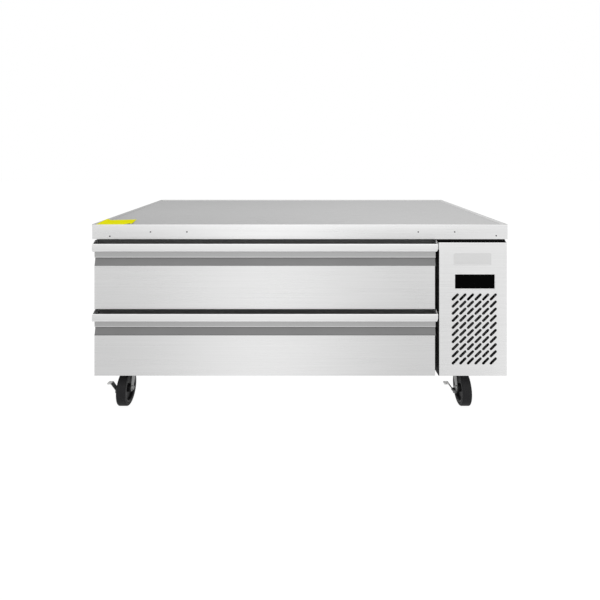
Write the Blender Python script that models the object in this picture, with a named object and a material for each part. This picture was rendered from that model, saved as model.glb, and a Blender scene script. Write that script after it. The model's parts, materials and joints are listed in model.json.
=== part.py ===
# Chef base freezer: two wide drawers under a heavy worktop, with the refrigeration unit in a bay on the right
# Metres, +Z up, front towards -Y, +X to the viewer's right.
# The origin is on the floor, under the middle of the whole object's box.

import math

import bmesh
import bpy
import numpy as np
from mathutils import Matrix, Vector

# Sheet, seats and cuts that many pieces share
SHEET = 0.0015
SEAT = 0.0003
OVERRUN = 0.010

# Casters
WHEEL_RADIUS = 0.0625
WHEEL_WIDTH = 0.032
TREAD_ROUNDING = 0.005
TYRE_THICKNESS = 0.013
RIM_THICKNESS = 0.006
WEB_THICKNESS = 0.012
HUB_RADIUS = 0.014
HUB_WIDTH = 0.0384
AXLE_RADIUS = 0.005
AXLE_HEAD_RADIUS = 0.0085
AXLE_HEAD_THICKNESS = 0.006
WHEEL_CLEARANCE = 0.0084
FORK_SHEET = 0.003
FORK_TOP = 0.005
FORK_HEAD_RADIUS = 0.031
FORK_BRIDGE_LENGTH = 0.056
FORK_FOOT_RADIUS = 0.013
RACE_THICKNESS = 0.007
RACE_RADIUS = 0.029
KINGPIN_RADIUS = 0.006
KINGPIN_NUT_RADIUS = 0.010
KINGPIN_NUT_THICKNESS = 0.005
PLATE_THICKNESS = 0.004
PLATE_WIDTH = 0.096
PLATE_LENGTH = 0.084
CASTER_TRAIL = 0.038
CASTER_LEFT_INSET = 0.091
CASTER_RIGHT_INSET = 0.135
CASTER_FRONT_INSET = 0.059
CASTER_BACK_INSET = 0.105
BRAKE_PIN_RADIUS = 0.003
BRAKE_PIN_HEIGHT = 0.052
BRAKE_EYE_RADIUS = 0.005
BRAKE_WIDTH = 0.020
BRAKE_ARM_THICKNESS = 0.003
BRAKE_ARM_REACH = 0.019
BRAKE_ARM_RISE = 0.030
BRAKE_TAB_LENGTH = 0.018
BRAKE_EAR_THICKNESS = 0.002

CASTER_HEIGHT = 2 * WHEEL_RADIUS + WHEEL_CLEARANCE + FORK_TOP + RACE_THICKNESS + PLATE_THICKNESS + 2 * SEAT

# Worktop
WORKTOP_WIDTH = 1.530
WORKTOP_DEPTH = 0.838
WORKTOP_SKIRT = 0.054
RIM_WIDTH = 0.012
RIM_RISE = 0.004
RIM_ROUNDING = 0.0022
RIM_STEPS = 3

# Body
BODY_HEIGHT = 0.501
BODY_INSET = 0.005
MACHINE_PANEL_WIDTH = 0.250
FOAM = 0.050
TOP_FOAM = 0.025
PORT_DEPTH = 0.024
PORT_HEIGHT = 0.036
PORT_FROM_BACK = 0.020
PORT_RISE = 0.0018

# Drawer fronts
LIP_REACH = 0.022
LIP_HEIGHT = 0.0204
CHAMFER_DROP = 0.0127
BAND_HEIGHT = 0.0184
GRIP_HEIGHT = 0.0338
GRIP_DEPTH = 0.0075
HANDLE_SHEET = 0.002
CHANNEL_BACK = 0.045
CHANNEL_FLOOR = 0.044
CREST_RISE = 0.0081
LOWER_FRONT_HEIGHT = 0.2354
FRONT_THICKNESS = 0.050
FRONT_GAP = 0.010
FRONT_DROP = 0.0015
FRONT_SIDE_MARGIN = 0.006
PANEL_GAP = 0.014
SKIRT_GAP = 0.0128

# Gaskets
GASKET_DEPTH = 0.014
GASKET_WIDTH = 0.016
GASKET_MARGIN = 0.004
GASKET_EDGE = 0.003

# Drawer slides and pan frames
SLIDE_HEIGHT = 0.046
SLIDE_SHEET = 0.0015
SLIDE_REACH = 0.008
SLIDE_PLAY = 0.0009
SLIDE_SETBACK = 0.004
SLIDE_BACK_GAP = 0.0174
SLIDE_DROP = 0.045
PAN_FRAME_BACK_GAP = 0.0181
PAN_FRAME_SHEET = 0.002
PAN_RIB_HEIGHT = 0.025
WELL_COUNT = 3
WELL_SIDE_STRIP = 0.0524
WELL_END_STRIP = 0.031

# Machine bay front panel, its window and its air slots
PANEL_TOP_GAP = 0.0114
PANEL_RETURN = 0.060
WINDOW_WIDTH = 0.1444
WINDOW_HEIGHT = 0.0511
WINDOW_DROP = 0.119
WINDOW_RIGHT_MARGIN = 0.0452
FASCIA_THICKNESS = 0.003
FASCIA_FLANGE = 0.006
CONTROLLER_DEPTH = 0.055
CONTROLLER_MARGIN = 0.010
SLOT_PITCH_X = 0.0279
SLOT_PITCH_Z = 0.0261
SLOT_LENGTH = 0.0336
SLOT_WIDTH = 0.007
SLOT_LEAN = math.radians(45)
SLOT_RIGHT_MARGIN = 0.0496
SLOT_LEFT_MARGIN = 0.060
SLOT_DROP = 0.0315
SLOT_BOTTOM_MARGIN = 0.054
SLOT_END_STEPS = 3

# Rear grille and cord gland
GRILLE_SIDE_MARGIN = 0.050
GRILLE_SLOT_HEIGHT = 0.008
GRILLE_PITCH = 0.024
GRILLE_RISE = 0.140
GRILLE_DROP = 0.090
GLAND_RADIUS = 0.011
GLAND_FLANGE_RADIUS = 0.016
GLAND_FLANGE = 0.003
GLAND_INNER_LENGTH = 0.018
GLAND_BORE = 0.0045
GLAND_RISE = 0.060
GLAND_SIDE_MARGIN = 0.050

# Condensing unit
CONDENSER_CLEARANCE = 0.018
CONDENSER_SIDE_GAP = 0.017
CONDENSER_TOP_GAP = 0.0497
CONDENSER_THICKNESS = 0.045
COIL_FIN = 0.0012
COIL_FIN_REACH = 0.004
COIL_END = 0.002
CONDENSER_FINS = 18
SHROUD_DEPTH = 0.022
SHROUD_MARGIN = 0.016
FAN_TIP_GAP = 0.006
CONDENSER_HUB_RADIUS = 0.024
CONDENSER_MOTOR_RADIUS = 0.038
CONDENSER_MOTOR_LENGTH = 0.050
FAN_HUB_LENGTH = 0.018
FAN_BLADES = 5
FAN_BLADE_THICKNESS = 0.0018
FAN_BLADE_CHORD_SHARE = 0.55
FAN_BLADE_PITCH = math.radians(28)
FAN_SHAFT_RADIUS = 0.003
FAN_MOTOR_GAP = 0.006
ARM_WIDTH = 0.010
ARM_THICKNESS = 0.004
ARM_OVERLAP = 0.006
COMPRESSOR_RADIUS = 0.075
COMPRESSOR_HEIGHT = 0.185
COMPRESSOR_WAIST = 0.004
COMPRESSOR_BASE_WIDTH = 0.200
COMPRESSOR_BASE_LENGTH = 0.170
COMPRESSOR_BASE_THICKNESS = 0.004
COMPRESSOR_FOOT_RADIUS = 0.012
COMPRESSOR_FOOT_HEIGHT = 0.014
COMPRESSOR_PLACE_SHARE = 0.418
STUB_RADIUS = 0.0065
STUB_LENGTH = 0.020
PAN_TRAY_SIDE_GAP = 0.025
PAN_TRAY_LENGTH_SHARE = 0.617
PAN_TRAY_HEIGHT = 0.030
PAN_TRAY_FROM_BACK = 0.070
ELECTRICAL_DEPTH = 0.055
ELECTRICAL_LENGTH = 0.170
ELECTRICAL_HEIGHT = 0.110
ELECTRICAL_DROP = 0.035
ELECTRICAL_SETBACK = 0.130

# Evaporator
EVAPORATOR_ROOM = 0.139
EVAPORATOR_COVER_GAP = 0.055
EVAPORATOR_WIDTH = 0.700
EVAPORATOR_ABOVE_PORT = 0.021
EVAPORATOR_THICKNESS = 0.058
EVAPORATOR_RISE = 0.075
EVAPORATOR_FINS = 22
EVAPORATOR_FAN_HOLE_RADIUS = 0.078
EVAPORATOR_HUB_RADIUS = 0.018
EVAPORATOR_MOTOR_RADIUS = 0.030
EVAPORATOR_MOTOR_LENGTH = 0.030
RETURN_SLOTS = 6
RETURN_SLOT_SHARE = 0.706
RETURN_SLOT_HEIGHT = 0.020
RETURN_PITCH_SHARE = 0.1462
RETURN_SLOT_RISE = 0.020

# Refrigerant lines
SUCTION_RADIUS = 0.005
LIQUID_RADIUS = 0.0035
LINE_BEND = 0.025
LINE_BEND_STEPS = 4
LINE_SPACING = 0.016
SUCTION_RUN = 0.100
DRIER_RADIUS = 0.013
DRIER_LENGTH = 0.100

# Places worked out from the sizes above
FRONT_Y = (LIP_REACH - WORKTOP_DEPTH) / 2
LIP_Y = FRONT_Y - LIP_REACH
WORKTOP_BACK = FRONT_Y + WORKTOP_DEPTH
WORKTOP_X = WORKTOP_WIDTH / 2
SKIRT_Z = CASTER_HEIGHT + BODY_HEIGHT
TOP_Z = SKIRT_Z + WORKTOP_SKIRT
BODY_X = WORKTOP_X - BODY_INSET
BODY_BACK = WORKTOP_BACK - BODY_INSET
BODY_TOP = SKIRT_Z - SEAT
BAY_X = BODY_X - MACHINE_PANEL_WIDTH
BAY_MIDDLE = (BAY_X + BODY_X) / 2
FLOOR_Z = CASTER_HEIGHT + SHEET
FRAME_Y = FRONT_Y + FRONT_THICKNESS + GASKET_DEPTH
SKIN = SHEET + SEAT
WALL = 2 * SKIN + FOAM
CAVITY_X = (WALL - BODY_X, BAY_X - WALL)
CAVITY_Y = (FRAME_Y + SKIN, BODY_BACK - WALL)
CAVITY_Z = (CASTER_HEIGHT + WALL, BODY_TOP - TOP_FOAM - SKIN)
CAVITY_MIDDLE = sum(CAVITY_X) / 2
FRONT_X = (FRONT_SIDE_MARGIN - BODY_X, BAY_X - PANEL_GAP)
LOWER_FRONT_Z = (CASTER_HEIGHT - FRONT_DROP, CASTER_HEIGHT - FRONT_DROP + LOWER_FRONT_HEIGHT)
UPPER_FRONT_Z = (LOWER_FRONT_Z[1] + FRONT_GAP, SKIRT_Z - SKIRT_GAP)
GASKET_INSET = GASKET_EDGE + GASKET_WIDTH + GASKET_MARGIN
LOWER_OPENING_Z = (CAVITY_Z[0], LOWER_FRONT_Z[1] + CREST_RISE - GASKET_INSET)
UPPER_OPENING_Z = (UPPER_FRONT_Z[0] + GASKET_INSET, CAVITY_Z[1])
FRONT_BACK_Y = FRONT_Y + FRONT_THICKNESS
PORT_Y = (CAVITY_Y[1] - PORT_FROM_BACK - PORT_DEPTH, CAVITY_Y[1] - PORT_FROM_BACK)
COVER_Y = CAVITY_Y[1] - EVAPORATOR_ROOM
WINDOW_Z = (
    SKIRT_Z - PANEL_TOP_GAP - WINDOW_DROP - WINDOW_HEIGHT,
    SKIRT_Z - PANEL_TOP_GAP - WINDOW_DROP,
)
WINDOW_X = (BODY_X - WINDOW_RIGHT_MARGIN - WINDOW_WIDTH, BODY_X - WINDOW_RIGHT_MARGIN)
CONDENSER_TOP = WINDOW_Z[0] - CONDENSER_TOP_GAP
PORT_Z = (CONDENSER_TOP + PORT_RISE, CONDENSER_TOP + PORT_RISE + PORT_HEIGHT)

FLAT_ANGLE = math.radians(1)
SNAP = 1e-7


# Helpers

def clear_scene():
    for old in list(bpy.data.objects):
        bpy.data.objects.remove(old)


def material(name, colour, roughness, metallic):
    made = bpy.data.materials.new(name)
    made.use_nodes = True
    shader = made.node_tree.nodes["Principled BSDF"]
    shader.inputs["Base Color"].default_value = (*colour, 1.0)
    shader.inputs["Roughness"].default_value = roughness
    shader.inputs["Metallic"].default_value = metallic
    return made


def add_object(name, bm, finish=None, smooth=False):
    """The bmesh as a named object in the scene."""
    bmesh.ops.recalc_face_normals(bm, faces=bm.faces)
    mesh = bpy.data.meshes.new(name)
    bm.to_mesh(mesh)
    bm.free()
    if smooth:
        mesh.shade_smooth()
        mesh.set_sharp_from_angle(angle=math.radians(35))
    if finish:
        mesh.materials.append(finish)
    made = bpy.data.objects.new(name, mesh)
    bpy.context.scene.collection.objects.link(made)
    return made


def around(middle, size):
    """The (low, high) pair of a stretch with this middle and size."""
    return (middle - size / 2, middle + size / 2)


def grown(pair, amount):
    return (pair[0] - amount, pair[1] + amount)


def across(axis):
    """The other two axes, in X, Y, Z order."""
    return [other for other in range(3) if other != axis]


def places_between(start, stop, pitch):
    """Evenly pitched places from the start towards the stop, as many as fit."""
    count = 1 + int(abs(stop - start) / pitch)
    step = math.copysign(pitch, stop - start)
    return [start + number * step for number in range(count)]


def boxes_bmesh(solids, voids=()):
    """One closed surface round the solids less the voids. Each is a box of three (low, high) pairs."""
    edges = []
    for axis in range(3):
        edges.append(sorted({round(value / SNAP) for item in (*solids, *voids) for value in item[axis]}))
    filled = np.zeros([len(values) - 1 for values in edges], bool)
    for items, state in ((solids, True), (voids, False)):
        for item in items:
            ends = [[edges[axis].index(round(value / SNAP)) for value in item[axis]] for axis in range(3)]
            filled[tuple(slice(*pair) for pair in ends)] = state
    bm = bmesh.new()
    corners = {}
    padded = np.pad(filled, 1).astype(int)
    for axis in range(3):
        second, third = (axis + 1) % 3, (axis + 2) % 3
        change = np.diff(padded, axis=axis)
        for cell in np.argwhere(change):
            quad = []
            for step_second, step_third in ((0, 0), (1, 0), (1, 1), (0, 1)):
                place = list(cell)
                place[second] += step_second - 1
                place[third] += step_third - 1
                key = tuple(place)
                if key not in corners:
                    corners[key] = bm.verts.new([edges[i][key[i]] * SNAP for i in range(3)])
                quad.append(corners[key])
            bm.faces.new(quad if change[tuple(cell)] < 0 else quad[::-1])
    bmesh.ops.dissolve_limit(bm, angle_limit=FLAT_ANGLE, verts=bm.verts, edges=bm.edges)
    return bm


def build_boxes(name, finish, solids, voids=()):
    return add_object(name, boxes_bmesh(solids, voids), finish)


def add_prism(bm, outline, axis, pair):
    """Extrudes an outline, points in the plane across the axis, between the pair's two places along it."""
    first, second = across(axis)
    verts = []
    for point in outline:
        place = [0.0, 0.0, 0.0]
        place[first], place[second] = point
        place[axis] = pair[0]
        verts.append(bm.verts.new(place))
    face = bm.faces.new(verts)
    sides = bmesh.ops.extrude_face_region(bm, geom=[face])["geom"]
    moved = [item for item in sides if isinstance(item, bmesh.types.BMVert)]
    shift = Vector((0.0, 0.0, 0.0))
    shift[axis] = pair[1] - pair[0]
    bmesh.ops.translate(bm, verts=moved, vec=shift)


def build_prism(name, finish, outline, axis, pair, smooth=False):
    bm = bmesh.new()
    add_prism(bm, outline, axis, pair)
    return add_object(name, bm, finish, smooth)


def circle(middle, radius, steps):
    turns = [2 * math.pi * step / steps for step in range(steps)]
    return [(middle[0] + radius * math.cos(turn), middle[1] + radius * math.sin(turn)) for turn in turns]


def arc(middle, radius, start, stop, steps):
    """Points of an arc between two angles, both ends included."""
    angles = [start + (stop - start) * step / steps for step in range(steps + 1)]
    return [(middle[0] + radius * math.cos(angle), middle[1] + radius * math.sin(angle)) for angle in angles]


def add_lathe(bm, profile, axis, origin, steps):
    """Turns a profile of (distance along the axis, radius) about the axis. A radius of zero closes it."""
    first, second = across(axis)
    rings = []
    for along, radius in profile:
        ring = []
        for point in circle((0.0, 0.0), radius, steps) if radius else [(0.0, 0.0)]:
            place = [0.0, 0.0, 0.0]
            place[first], place[second] = point
            place[axis] = along
            ring.append(bm.verts.new(Vector(place) + Vector(origin)))
        rings.append(ring)
    closed = profile[0][1] and profile[-1][1]
    pairs = zip(rings, rings[1:] + rings[:1]) if closed else zip(rings, rings[1:])
    for ring, following in pairs:
        for step in range(steps):
            after = (step + 1) % steps
            corners = [ring[step % len(ring)], ring[after % len(ring)]]
            corners += [following[after % len(following)], following[step % len(following)]]
            bm.faces.new(list(dict.fromkeys(corners)))


def build_lathe(name, finish, profile, axis, origin, steps):
    bm = bmesh.new()
    add_lathe(bm, profile, axis, origin, steps)
    return add_object(name, bm, finish, smooth=True)


def rod(axis, origin, pair, radius, steps):
    """A plain cylinder as a helper object, to be fused or cut."""
    profile = [(pair[0], 0.0), (pair[0], radius), (pair[1], radius), (pair[1], 0.0)]
    return build_lathe("rod", None, profile, axis, origin, steps)


def combine(target, tool, operation):
    """Applies a Boolean to the target and removes the tool."""
    modifier = target.modifiers.new(operation.lower(), "BOOLEAN")
    modifier.object = tool
    modifier.operation = operation
    modifier.solver = "EXACT"
    graph = bpy.context.evaluated_depsgraph_get()
    mesh = bpy.data.meshes.new_from_object(target.evaluated_get(graph))
    target.modifiers.clear()
    target.data = mesh
    bpy.data.objects.remove(tool)
    return target


def fuse(target, *tools):
    for tool in tools:
        combine(target, tool, "UNION")
    return target


def cut(target, *tools):
    for tool in tools:
        combine(target, tool, "DIFFERENCE")
    return target


def build_rings(name, finish, x_pair, y_pair, profile):
    """A closed shape of rectangular rings, each given as (inset from the box's sides, height)."""
    bm = bmesh.new()
    rings = []
    for inset, height in profile:
        (left, right), (front, back) = grown(x_pair, -inset), grown(y_pair, -inset)
        places = ((left, front), (right, front), (right, back), (left, back))
        rings.append([bm.verts.new((*place, height)) for place in places])
    for ring, following in zip(rings, rings[1:]):
        for step in range(4):
            after = (step + 1) % 4
            bm.faces.new((ring[step], ring[after], following[after], following[step]))
    bm.faces.new(rings[0])
    bm.faces.new(rings[-1])
    return add_object(name, bm, finish)


def add_carrier(name, point, pieces):
    """An empty on a joint's axis that carries the pieces."""
    carrier = bpy.data.objects.new(name, None)
    carrier.location = point
    bpy.context.scene.collection.objects.link(carrier)
    for piece in pieces:
        piece.parent = carrier
        piece.matrix_parent_inverse = Matrix.Translation(-Vector(point))
    return carrier


def smooth_path(points, bend, steps):
    """The points with each inner corner rounded to a curve that starts and ends one bend from it."""
    path = [Vector(points[0])]
    for before, corner, after in zip(points, points[1:], points[2:]):
        corner = Vector(corner)
        start = corner + (Vector(before) - corner).normalized() * bend
        stop = corner + (Vector(after) - corner).normalized() * bend
        for step in range(steps + 1):
            share = step / steps
            path.append(start * (1 - share) ** 2 + corner * 2 * share * (1 - share) + stop * share**2)
    path.append(Vector(points[-1]))
    return path


def build_tube(name, finish, points, radius):
    """A bent tube as a mesh with closed ends."""
    path = smooth_path(points, LINE_BEND, LINE_BEND_STEPS)
    curve = bpy.data.curves.new(name, "CURVE")
    curve.dimensions = "3D"
    curve.bevel_depth = radius
    curve.bevel_resolution = 2
    curve.use_fill_caps = True
    spline = curve.splines.new("POLY")
    spline.points.add(len(path) - 1)
    for point, place in zip(spline.points, path):
        point.co = (*place, 1.0)
    guide = bpy.data.objects.new("guide", curve)
    bpy.context.scene.collection.objects.link(guide)
    graph = bpy.context.evaluated_depsgraph_get()
    bm = bmesh.new()
    bm.from_mesh(bpy.data.meshes.new_from_object(guide.evaluated_get(graph)))
    bmesh.ops.remove_doubles(bm, verts=bm.verts, dist=SEAT / 10)
    bpy.data.objects.remove(guide)
    return add_object(name, bm, finish, smooth=True)


# Finishes

def make_finishes():
    return {
        "steel": material("brushed_steel", (0.74, 0.74, 0.75), 0.34, 1.0),
        "worktop": material("worktop_steel", (0.68, 0.68, 0.69), 0.38, 1.0),
        "galvanised": material("galvanised_steel", (0.58, 0.60, 0.61), 0.45, 1.0),
        "zinc": material("zinc_plate", (0.66, 0.67, 0.68), 0.40, 1.0),
        "foam": material("rigid_foam", (0.86, 0.80, 0.60), 0.90, 0.0),
        "liner": material("aluminium_liner", (0.80, 0.81, 0.82), 0.42, 1.0),
        "gasket": material("gasket_grey", (0.16, 0.16, 0.17), 0.75, 0.0),
        "black": material("black_enamel", (0.03, 0.03, 0.03), 0.40, 0.0),
        "window": material("control_window", (0.01, 0.01, 0.01), 0.12, 0.0),
        "plastic": material("dark_plastic", (0.06, 0.06, 0.06), 0.55, 0.0),
        "rubber": material("wheel_rubber", (0.05, 0.055, 0.055), 0.60, 0.0),
        "copper": material("copper", (0.72, 0.38, 0.24), 0.35, 1.0),
        "fins": material("aluminium_fins", (0.75, 0.76, 0.77), 0.45, 1.0),
        "fan": material("fan_plastic", (0.12, 0.12, 0.13), 0.50, 0.0),
        "motor": material("motor_grey", (0.35, 0.36, 0.37), 0.45, 1.0),
    }


# Worktop

def build_worktop(finishes):
    """Folded top with a raised rim, open below, on a foam core."""
    depth = (FRONT_Y, WORKTOP_BACK)
    width = (-WORKTOP_X, WORKTOP_X)
    deck = TOP_Z - RIM_RISE
    shoulder = TOP_Z - RIM_ROUNDING
    quarter = math.pi / 2
    profile = [(SHEET, deck - SHEET), (SHEET, SKIRT_Z), (0.0, SKIRT_Z)]
    profile += arc((RIM_ROUNDING, shoulder), RIM_ROUNDING, math.pi, quarter, RIM_STEPS)
    profile += arc((RIM_WIDTH - RIM_ROUNDING, shoulder), RIM_ROUNDING, quarter, 0.0, RIM_STEPS)
    profile.append((RIM_WIDTH, deck))
    build_rings("worktop", finishes["worktop"], width, depth, profile)
    core = (grown(width, -SKIN), grown(depth, -SKIN), (SKIRT_Z, deck - SKIN))
    build_boxes("worktop_core", finishes["foam"], [core])


# Cabinet

def build_cabinet(finishes):
    left = (-BODY_X, SHEET - BODY_X)
    bulkhead = (BAY_X - SHEET, BAY_X)
    depth = (FRAME_Y, BODY_BACK)
    height = (CASTER_HEIGHT, BODY_TOP)
    base = (CASTER_HEIGHT, FLOOR_Z)
    side_gap = BODY_X - SKIN
    shell = [
        (left, depth, height),
        (bulkhead, depth, height),
        ((-BODY_X, BAY_X), (BODY_BACK - SHEET, BODY_BACK), height),
        ((-BODY_X, side_gap), depth, base),
        ((BAY_X + SKIN, side_gap), (FRONT_Y + SKIN, FRAME_Y), base),
    ]
    port = ((CAVITY_X[1] - OVERRUN, BAY_X + OVERRUN), PORT_Y, PORT_Z)
    build_boxes("cabinet_shell", finishes["galvanised"], shell, [port])

    inner_x = (SKIN - BODY_X, BAY_X - SKIN)
    front = FRAME_Y + SKIN
    foam = (inner_x, (front, BODY_BACK - SKIN), (CASTER_HEIGHT + SKIN, BODY_TOP))
    hollow = (grown(CAVITY_X, SKIN), (front, CAVITY_Y[1] + SKIN), grown(CAVITY_Z, SKIN))
    build_boxes("cabinet_insulation", finishes["foam"], [foam], [hollow, port])

    liner = (grown(CAVITY_X, SHEET), (front, CAVITY_Y[1] + SHEET), grown(CAVITY_Z, SHEET))
    cavity = (CAVITY_X, CAVITY_Y, CAVITY_Z)
    build_boxes("cabinet_liner", finishes["liner"], [liner], [cavity, port])

    plate = (inner_x, (FRAME_Y, FRAME_Y + SHEET), (CASTER_HEIGHT + SKIN, BODY_TOP))
    openings = [(CAVITY_X, plate[1], LOWER_OPENING_Z), (CAVITY_X, plate[1], UPPER_OPENING_Z)]
    build_boxes("front_frame", finishes["steel"], [plate], openings)


# Drawers

def build_handle(prefix, finishes, lip_z):
    """Full-width formed handle: lip, finger channel, flat band and grip recess, closed by its two ends."""
    crest = lip_z + CREST_RISE
    chamfer = lip_z - LIP_HEIGHT - CHAMFER_DROP
    band = chamfer - BAND_HEIGHT
    foot = band - GRIP_HEIGHT + SEAT
    back = FRONT_BACK_Y - SKIN
    outline = [
        (LIP_Y, lip_z),
        (LIP_Y, lip_z - LIP_HEIGHT),
        (FRONT_Y, chamfer),
        (FRONT_Y, band),
        (FRONT_Y + GRIP_DEPTH, band),
        (FRONT_Y, foot),
        (back, foot),
        (back, crest),
        (FRONT_Y, crest),
    ]
    handle = build_prism(prefix + "_handle", finishes["steel"], outline, 0, FRONT_X)
    inside = grown(FRONT_X, -HANDLE_SHEET)
    wall = LIP_Y + CHANNEL_BACK
    above = crest + OVERRUN
    inner_lip = LIP_Y + HANDLE_SHEET
    inner_front = FRONT_Y + HANDLE_SHEET
    channel = [
        (inner_lip, above),
        (inner_lip, lip_z - LIP_HEIGHT),
        (inner_front, chamfer),
        (inner_front, lip_z - CHANNEL_FLOOR),
        (wall, lip_z - CHANNEL_FLOOR),
        (wall, above),
    ]
    under_floor = lip_z - CHANNEL_FLOOR - HANDLE_SHEET
    front = FRONT_Y + GRIP_DEPTH + HANDLE_SHEET
    hollow = [
        (front, foot - OVERRUN),
        (front, under_floor),
        (wall + HANDLE_SHEET, under_floor),
        (wall + HANDLE_SHEET, crest - HANDLE_SHEET),
        (back + OVERRUN, crest - HANDLE_SHEET),
        (back + OVERRUN, foot - OVERRUN),
    ]
    tools = [build_prism("channel", None, channel, 0, inside), build_prism("hollow", None, hollow, 0, inside)]
    return cut(handle, *tools)


def build_front(prefix, finishes, front_z):
    """Skin, foam, inner panel and handle of one drawer front."""
    lip_z = front_z[1]
    crest = lip_z + CREST_RISE
    shoulder = lip_z - LIP_HEIGHT - CHAMFER_DROP - BAND_HEIGHT - GRIP_HEIGHT
    back = FRONT_BACK_Y - SKIN
    inside = grown(FRONT_X, -SHEET)
    skin = build_boxes(
        prefix + "_front_skin",
        finishes["steel"],
        [(FRONT_X, (FRONT_Y, back), (front_z[0], shoulder))],
        [(inside, (FRONT_Y + SHEET, back), (front_z[0] + SHEET, shoulder))],
    )
    low_front = FRONT_Y + SKIN
    high_front = FRONT_Y + GRIP_DEPTH + HANDLE_SHEET + SEAT
    under_floor = lip_z - CHANNEL_FLOOR - HANDLE_SHEET - SEAT
    behind_wall = LIP_Y + CHANNEL_BACK + HANDLE_SHEET + SEAT
    outline = [
        (low_front, front_z[0] + SKIN),
        (low_front, shoulder),
        (high_front, shoulder),
        (high_front, under_floor),
        (behind_wall, under_floor),
        (behind_wall, crest - HANDLE_SHEET - SEAT),
        (back, crest - HANDLE_SHEET - SEAT),
        (back, front_z[0] + SKIN),
    ]
    foam_x = grown(FRONT_X, -HANDLE_SHEET - SEAT)
    foam = build_prism(prefix + "_front_foam", finishes["foam"], outline, 0, foam_x)
    panel = build_boxes(
        prefix + "_inner_panel",
        finishes["liner"],
        [(FRONT_X, (FRONT_BACK_Y - SHEET, FRONT_BACK_Y), (front_z[0], crest))],
    )
    return [skin, foam, panel, build_handle(prefix, finishes, lip_z)]


def build_gasket(prefix, finishes, opening_z):
    depth = (FRONT_BACK_Y + SEAT, FRAME_Y - SEAT)
    inner = (grown(CAVITY_X, GASKET_MARGIN), depth, grown(opening_z, GASKET_MARGIN))
    outer = (grown(inner[0], GASKET_WIDTH), depth, grown(inner[2], GASKET_WIDTH))
    return build_boxes(prefix + "_gasket", finishes["gasket"], [outer], [inner])


def slide_stack():
    """The places across one slide, from the liner wall inwards: each member's outermost and innermost."""
    outer = (SEAT, SEAT + SLIDE_REACH)
    middle_start = outer[0] + SLIDE_SHEET + SLIDE_PLAY
    middle = (middle_start, middle_start + SLIDE_REACH)
    inner_start = middle[0] + SLIDE_SHEET + SLIDE_PLAY
    return outer, middle, (inner_start, inner_start + SLIDE_REACH)


def from_wall(side, pair):
    """A stretch measured inwards from the cavity's left or right wall, as world X."""
    if side == "left":
        return (CAVITY_X[0] + pair[0], CAVITY_X[0] + pair[1])
    return (CAVITY_X[1] - pair[1], CAVITY_X[1] - pair[0])


def channel_boxes(side, pair, web_first, depth, middle_z, height):
    """A C-shaped slide member: two flanges and a web on the wall's side or on the drawer's side."""
    web = (pair[0], pair[0] + SLIDE_SHEET) if web_first else (pair[1] - SLIDE_SHEET, pair[1])
    low, high = around(middle_z, height)
    return [
        (from_wall(side, web), depth, (low, high)),
        (from_wall(side, pair), depth, (low, low + SLIDE_SHEET)),
        (from_wall(side, pair), depth, (high - SLIDE_SHEET, high)),
    ]


def build_slides(prefix, finishes, middle_z):
    """The fixed outer members and the moving middle members on both sides."""
    outer, middle, _ = slide_stack()
    start = FRAME_Y + SLIDE_SETBACK
    depth = (start, COVER_Y - SLIDE_BACK_GAP)
    nested = SLIDE_HEIGHT - 2 * (SLIDE_SHEET + SEAT)
    middles = []
    for side in ("left", "right"):
        boxes = channel_boxes(side, outer, True, depth, middle_z, SLIDE_HEIGHT)
        build_boxes(f"{prefix}_slide_outer_{side}", finishes["zinc"], boxes)
        boxes = channel_boxes(side, middle, True, depth, middle_z, nested)
        middles.append(build_boxes(f"{prefix}_slide_middle_{side}", finishes["zinc"], boxes))
    add_carrier(prefix + "_slide_middles", (CAVITY_MIDDLE, start, middle_z), middles)


def build_pan_frame(prefix, finishes, middle_z):
    """The frame that holds the food pans, with its two rails running in the middle slide members."""
    _, _, inner = slide_stack()
    depth = (FRONT_BACK_Y + SEAT, COVER_Y - PAN_FRAME_BACK_GAP)
    height = SLIDE_HEIGHT - 4 * (SLIDE_SHEET + SEAT)
    low, high = around(middle_z, height)
    boxes = []
    for side in ("left", "right"):
        boxes += channel_boxes(side, inner, False, depth, middle_z, height)
    frame_x = (CAVITY_X[0] + inner[1] - SLIDE_SHEET, CAVITY_X[1] - inner[1] + SLIDE_SHEET)
    deck_z = (high - PAN_FRAME_SHEET, high)
    boxes.append((frame_x, depth, deck_z))
    boxes.append((frame_x, (depth[0], depth[0] + PAN_FRAME_SHEET), (low, high)))
    boxes.append((frame_x, (depth[1] - PAN_FRAME_SHEET, depth[1]), (low, high)))
    well_pitch = (frame_x[1] - frame_x[0] - WELL_SIDE_STRIP) / WELL_COUNT
    well_y = grown(depth, -WELL_END_STRIP)
    wells = []
    for well in range(WELL_COUNT):
        start = frame_x[0] + WELL_SIDE_STRIP + well * well_pitch
        wells.append(((start, start + well_pitch - WELL_SIDE_STRIP), well_y, deck_z))
        if well:
            rib_x = around(start - WELL_SIDE_STRIP / 2, PAN_FRAME_SHEET)
            boxes.append((rib_x, depth, (high - PAN_RIB_HEIGHT, high)))
    return build_boxes(prefix + "_pan_frame", finishes["zinc"], boxes, wells)


def build_drawer(prefix, finishes, front_z, opening_z):
    middle_z = opening_z[1] - SLIDE_DROP
    pieces = build_front(prefix, finishes, front_z)
    pieces.append(build_gasket(prefix, finishes, opening_z))
    pieces.append(build_pan_frame(prefix, finishes, middle_z))
    build_slides(prefix, finishes, middle_z)
    add_carrier(prefix, (sum(FRONT_X) / 2, FRONT_BACK_Y, middle_z), pieces)


# Machine bay covers

def slot_outline(middle):
    """A round-ended slot that leans to the right."""
    radius = SLOT_WIDTH / 2
    reach = (SLOT_LENGTH - SLOT_WIDTH) / 2
    points = []
    for turn in (0.0, math.pi):
        heading = SLOT_LEAN + turn
        end = (middle[0] + reach * math.cos(heading), middle[1] + reach * math.sin(heading))
        points += arc(end, radius, heading - math.pi / 2, heading + math.pi / 2, SLOT_END_STEPS)
    return points


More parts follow.
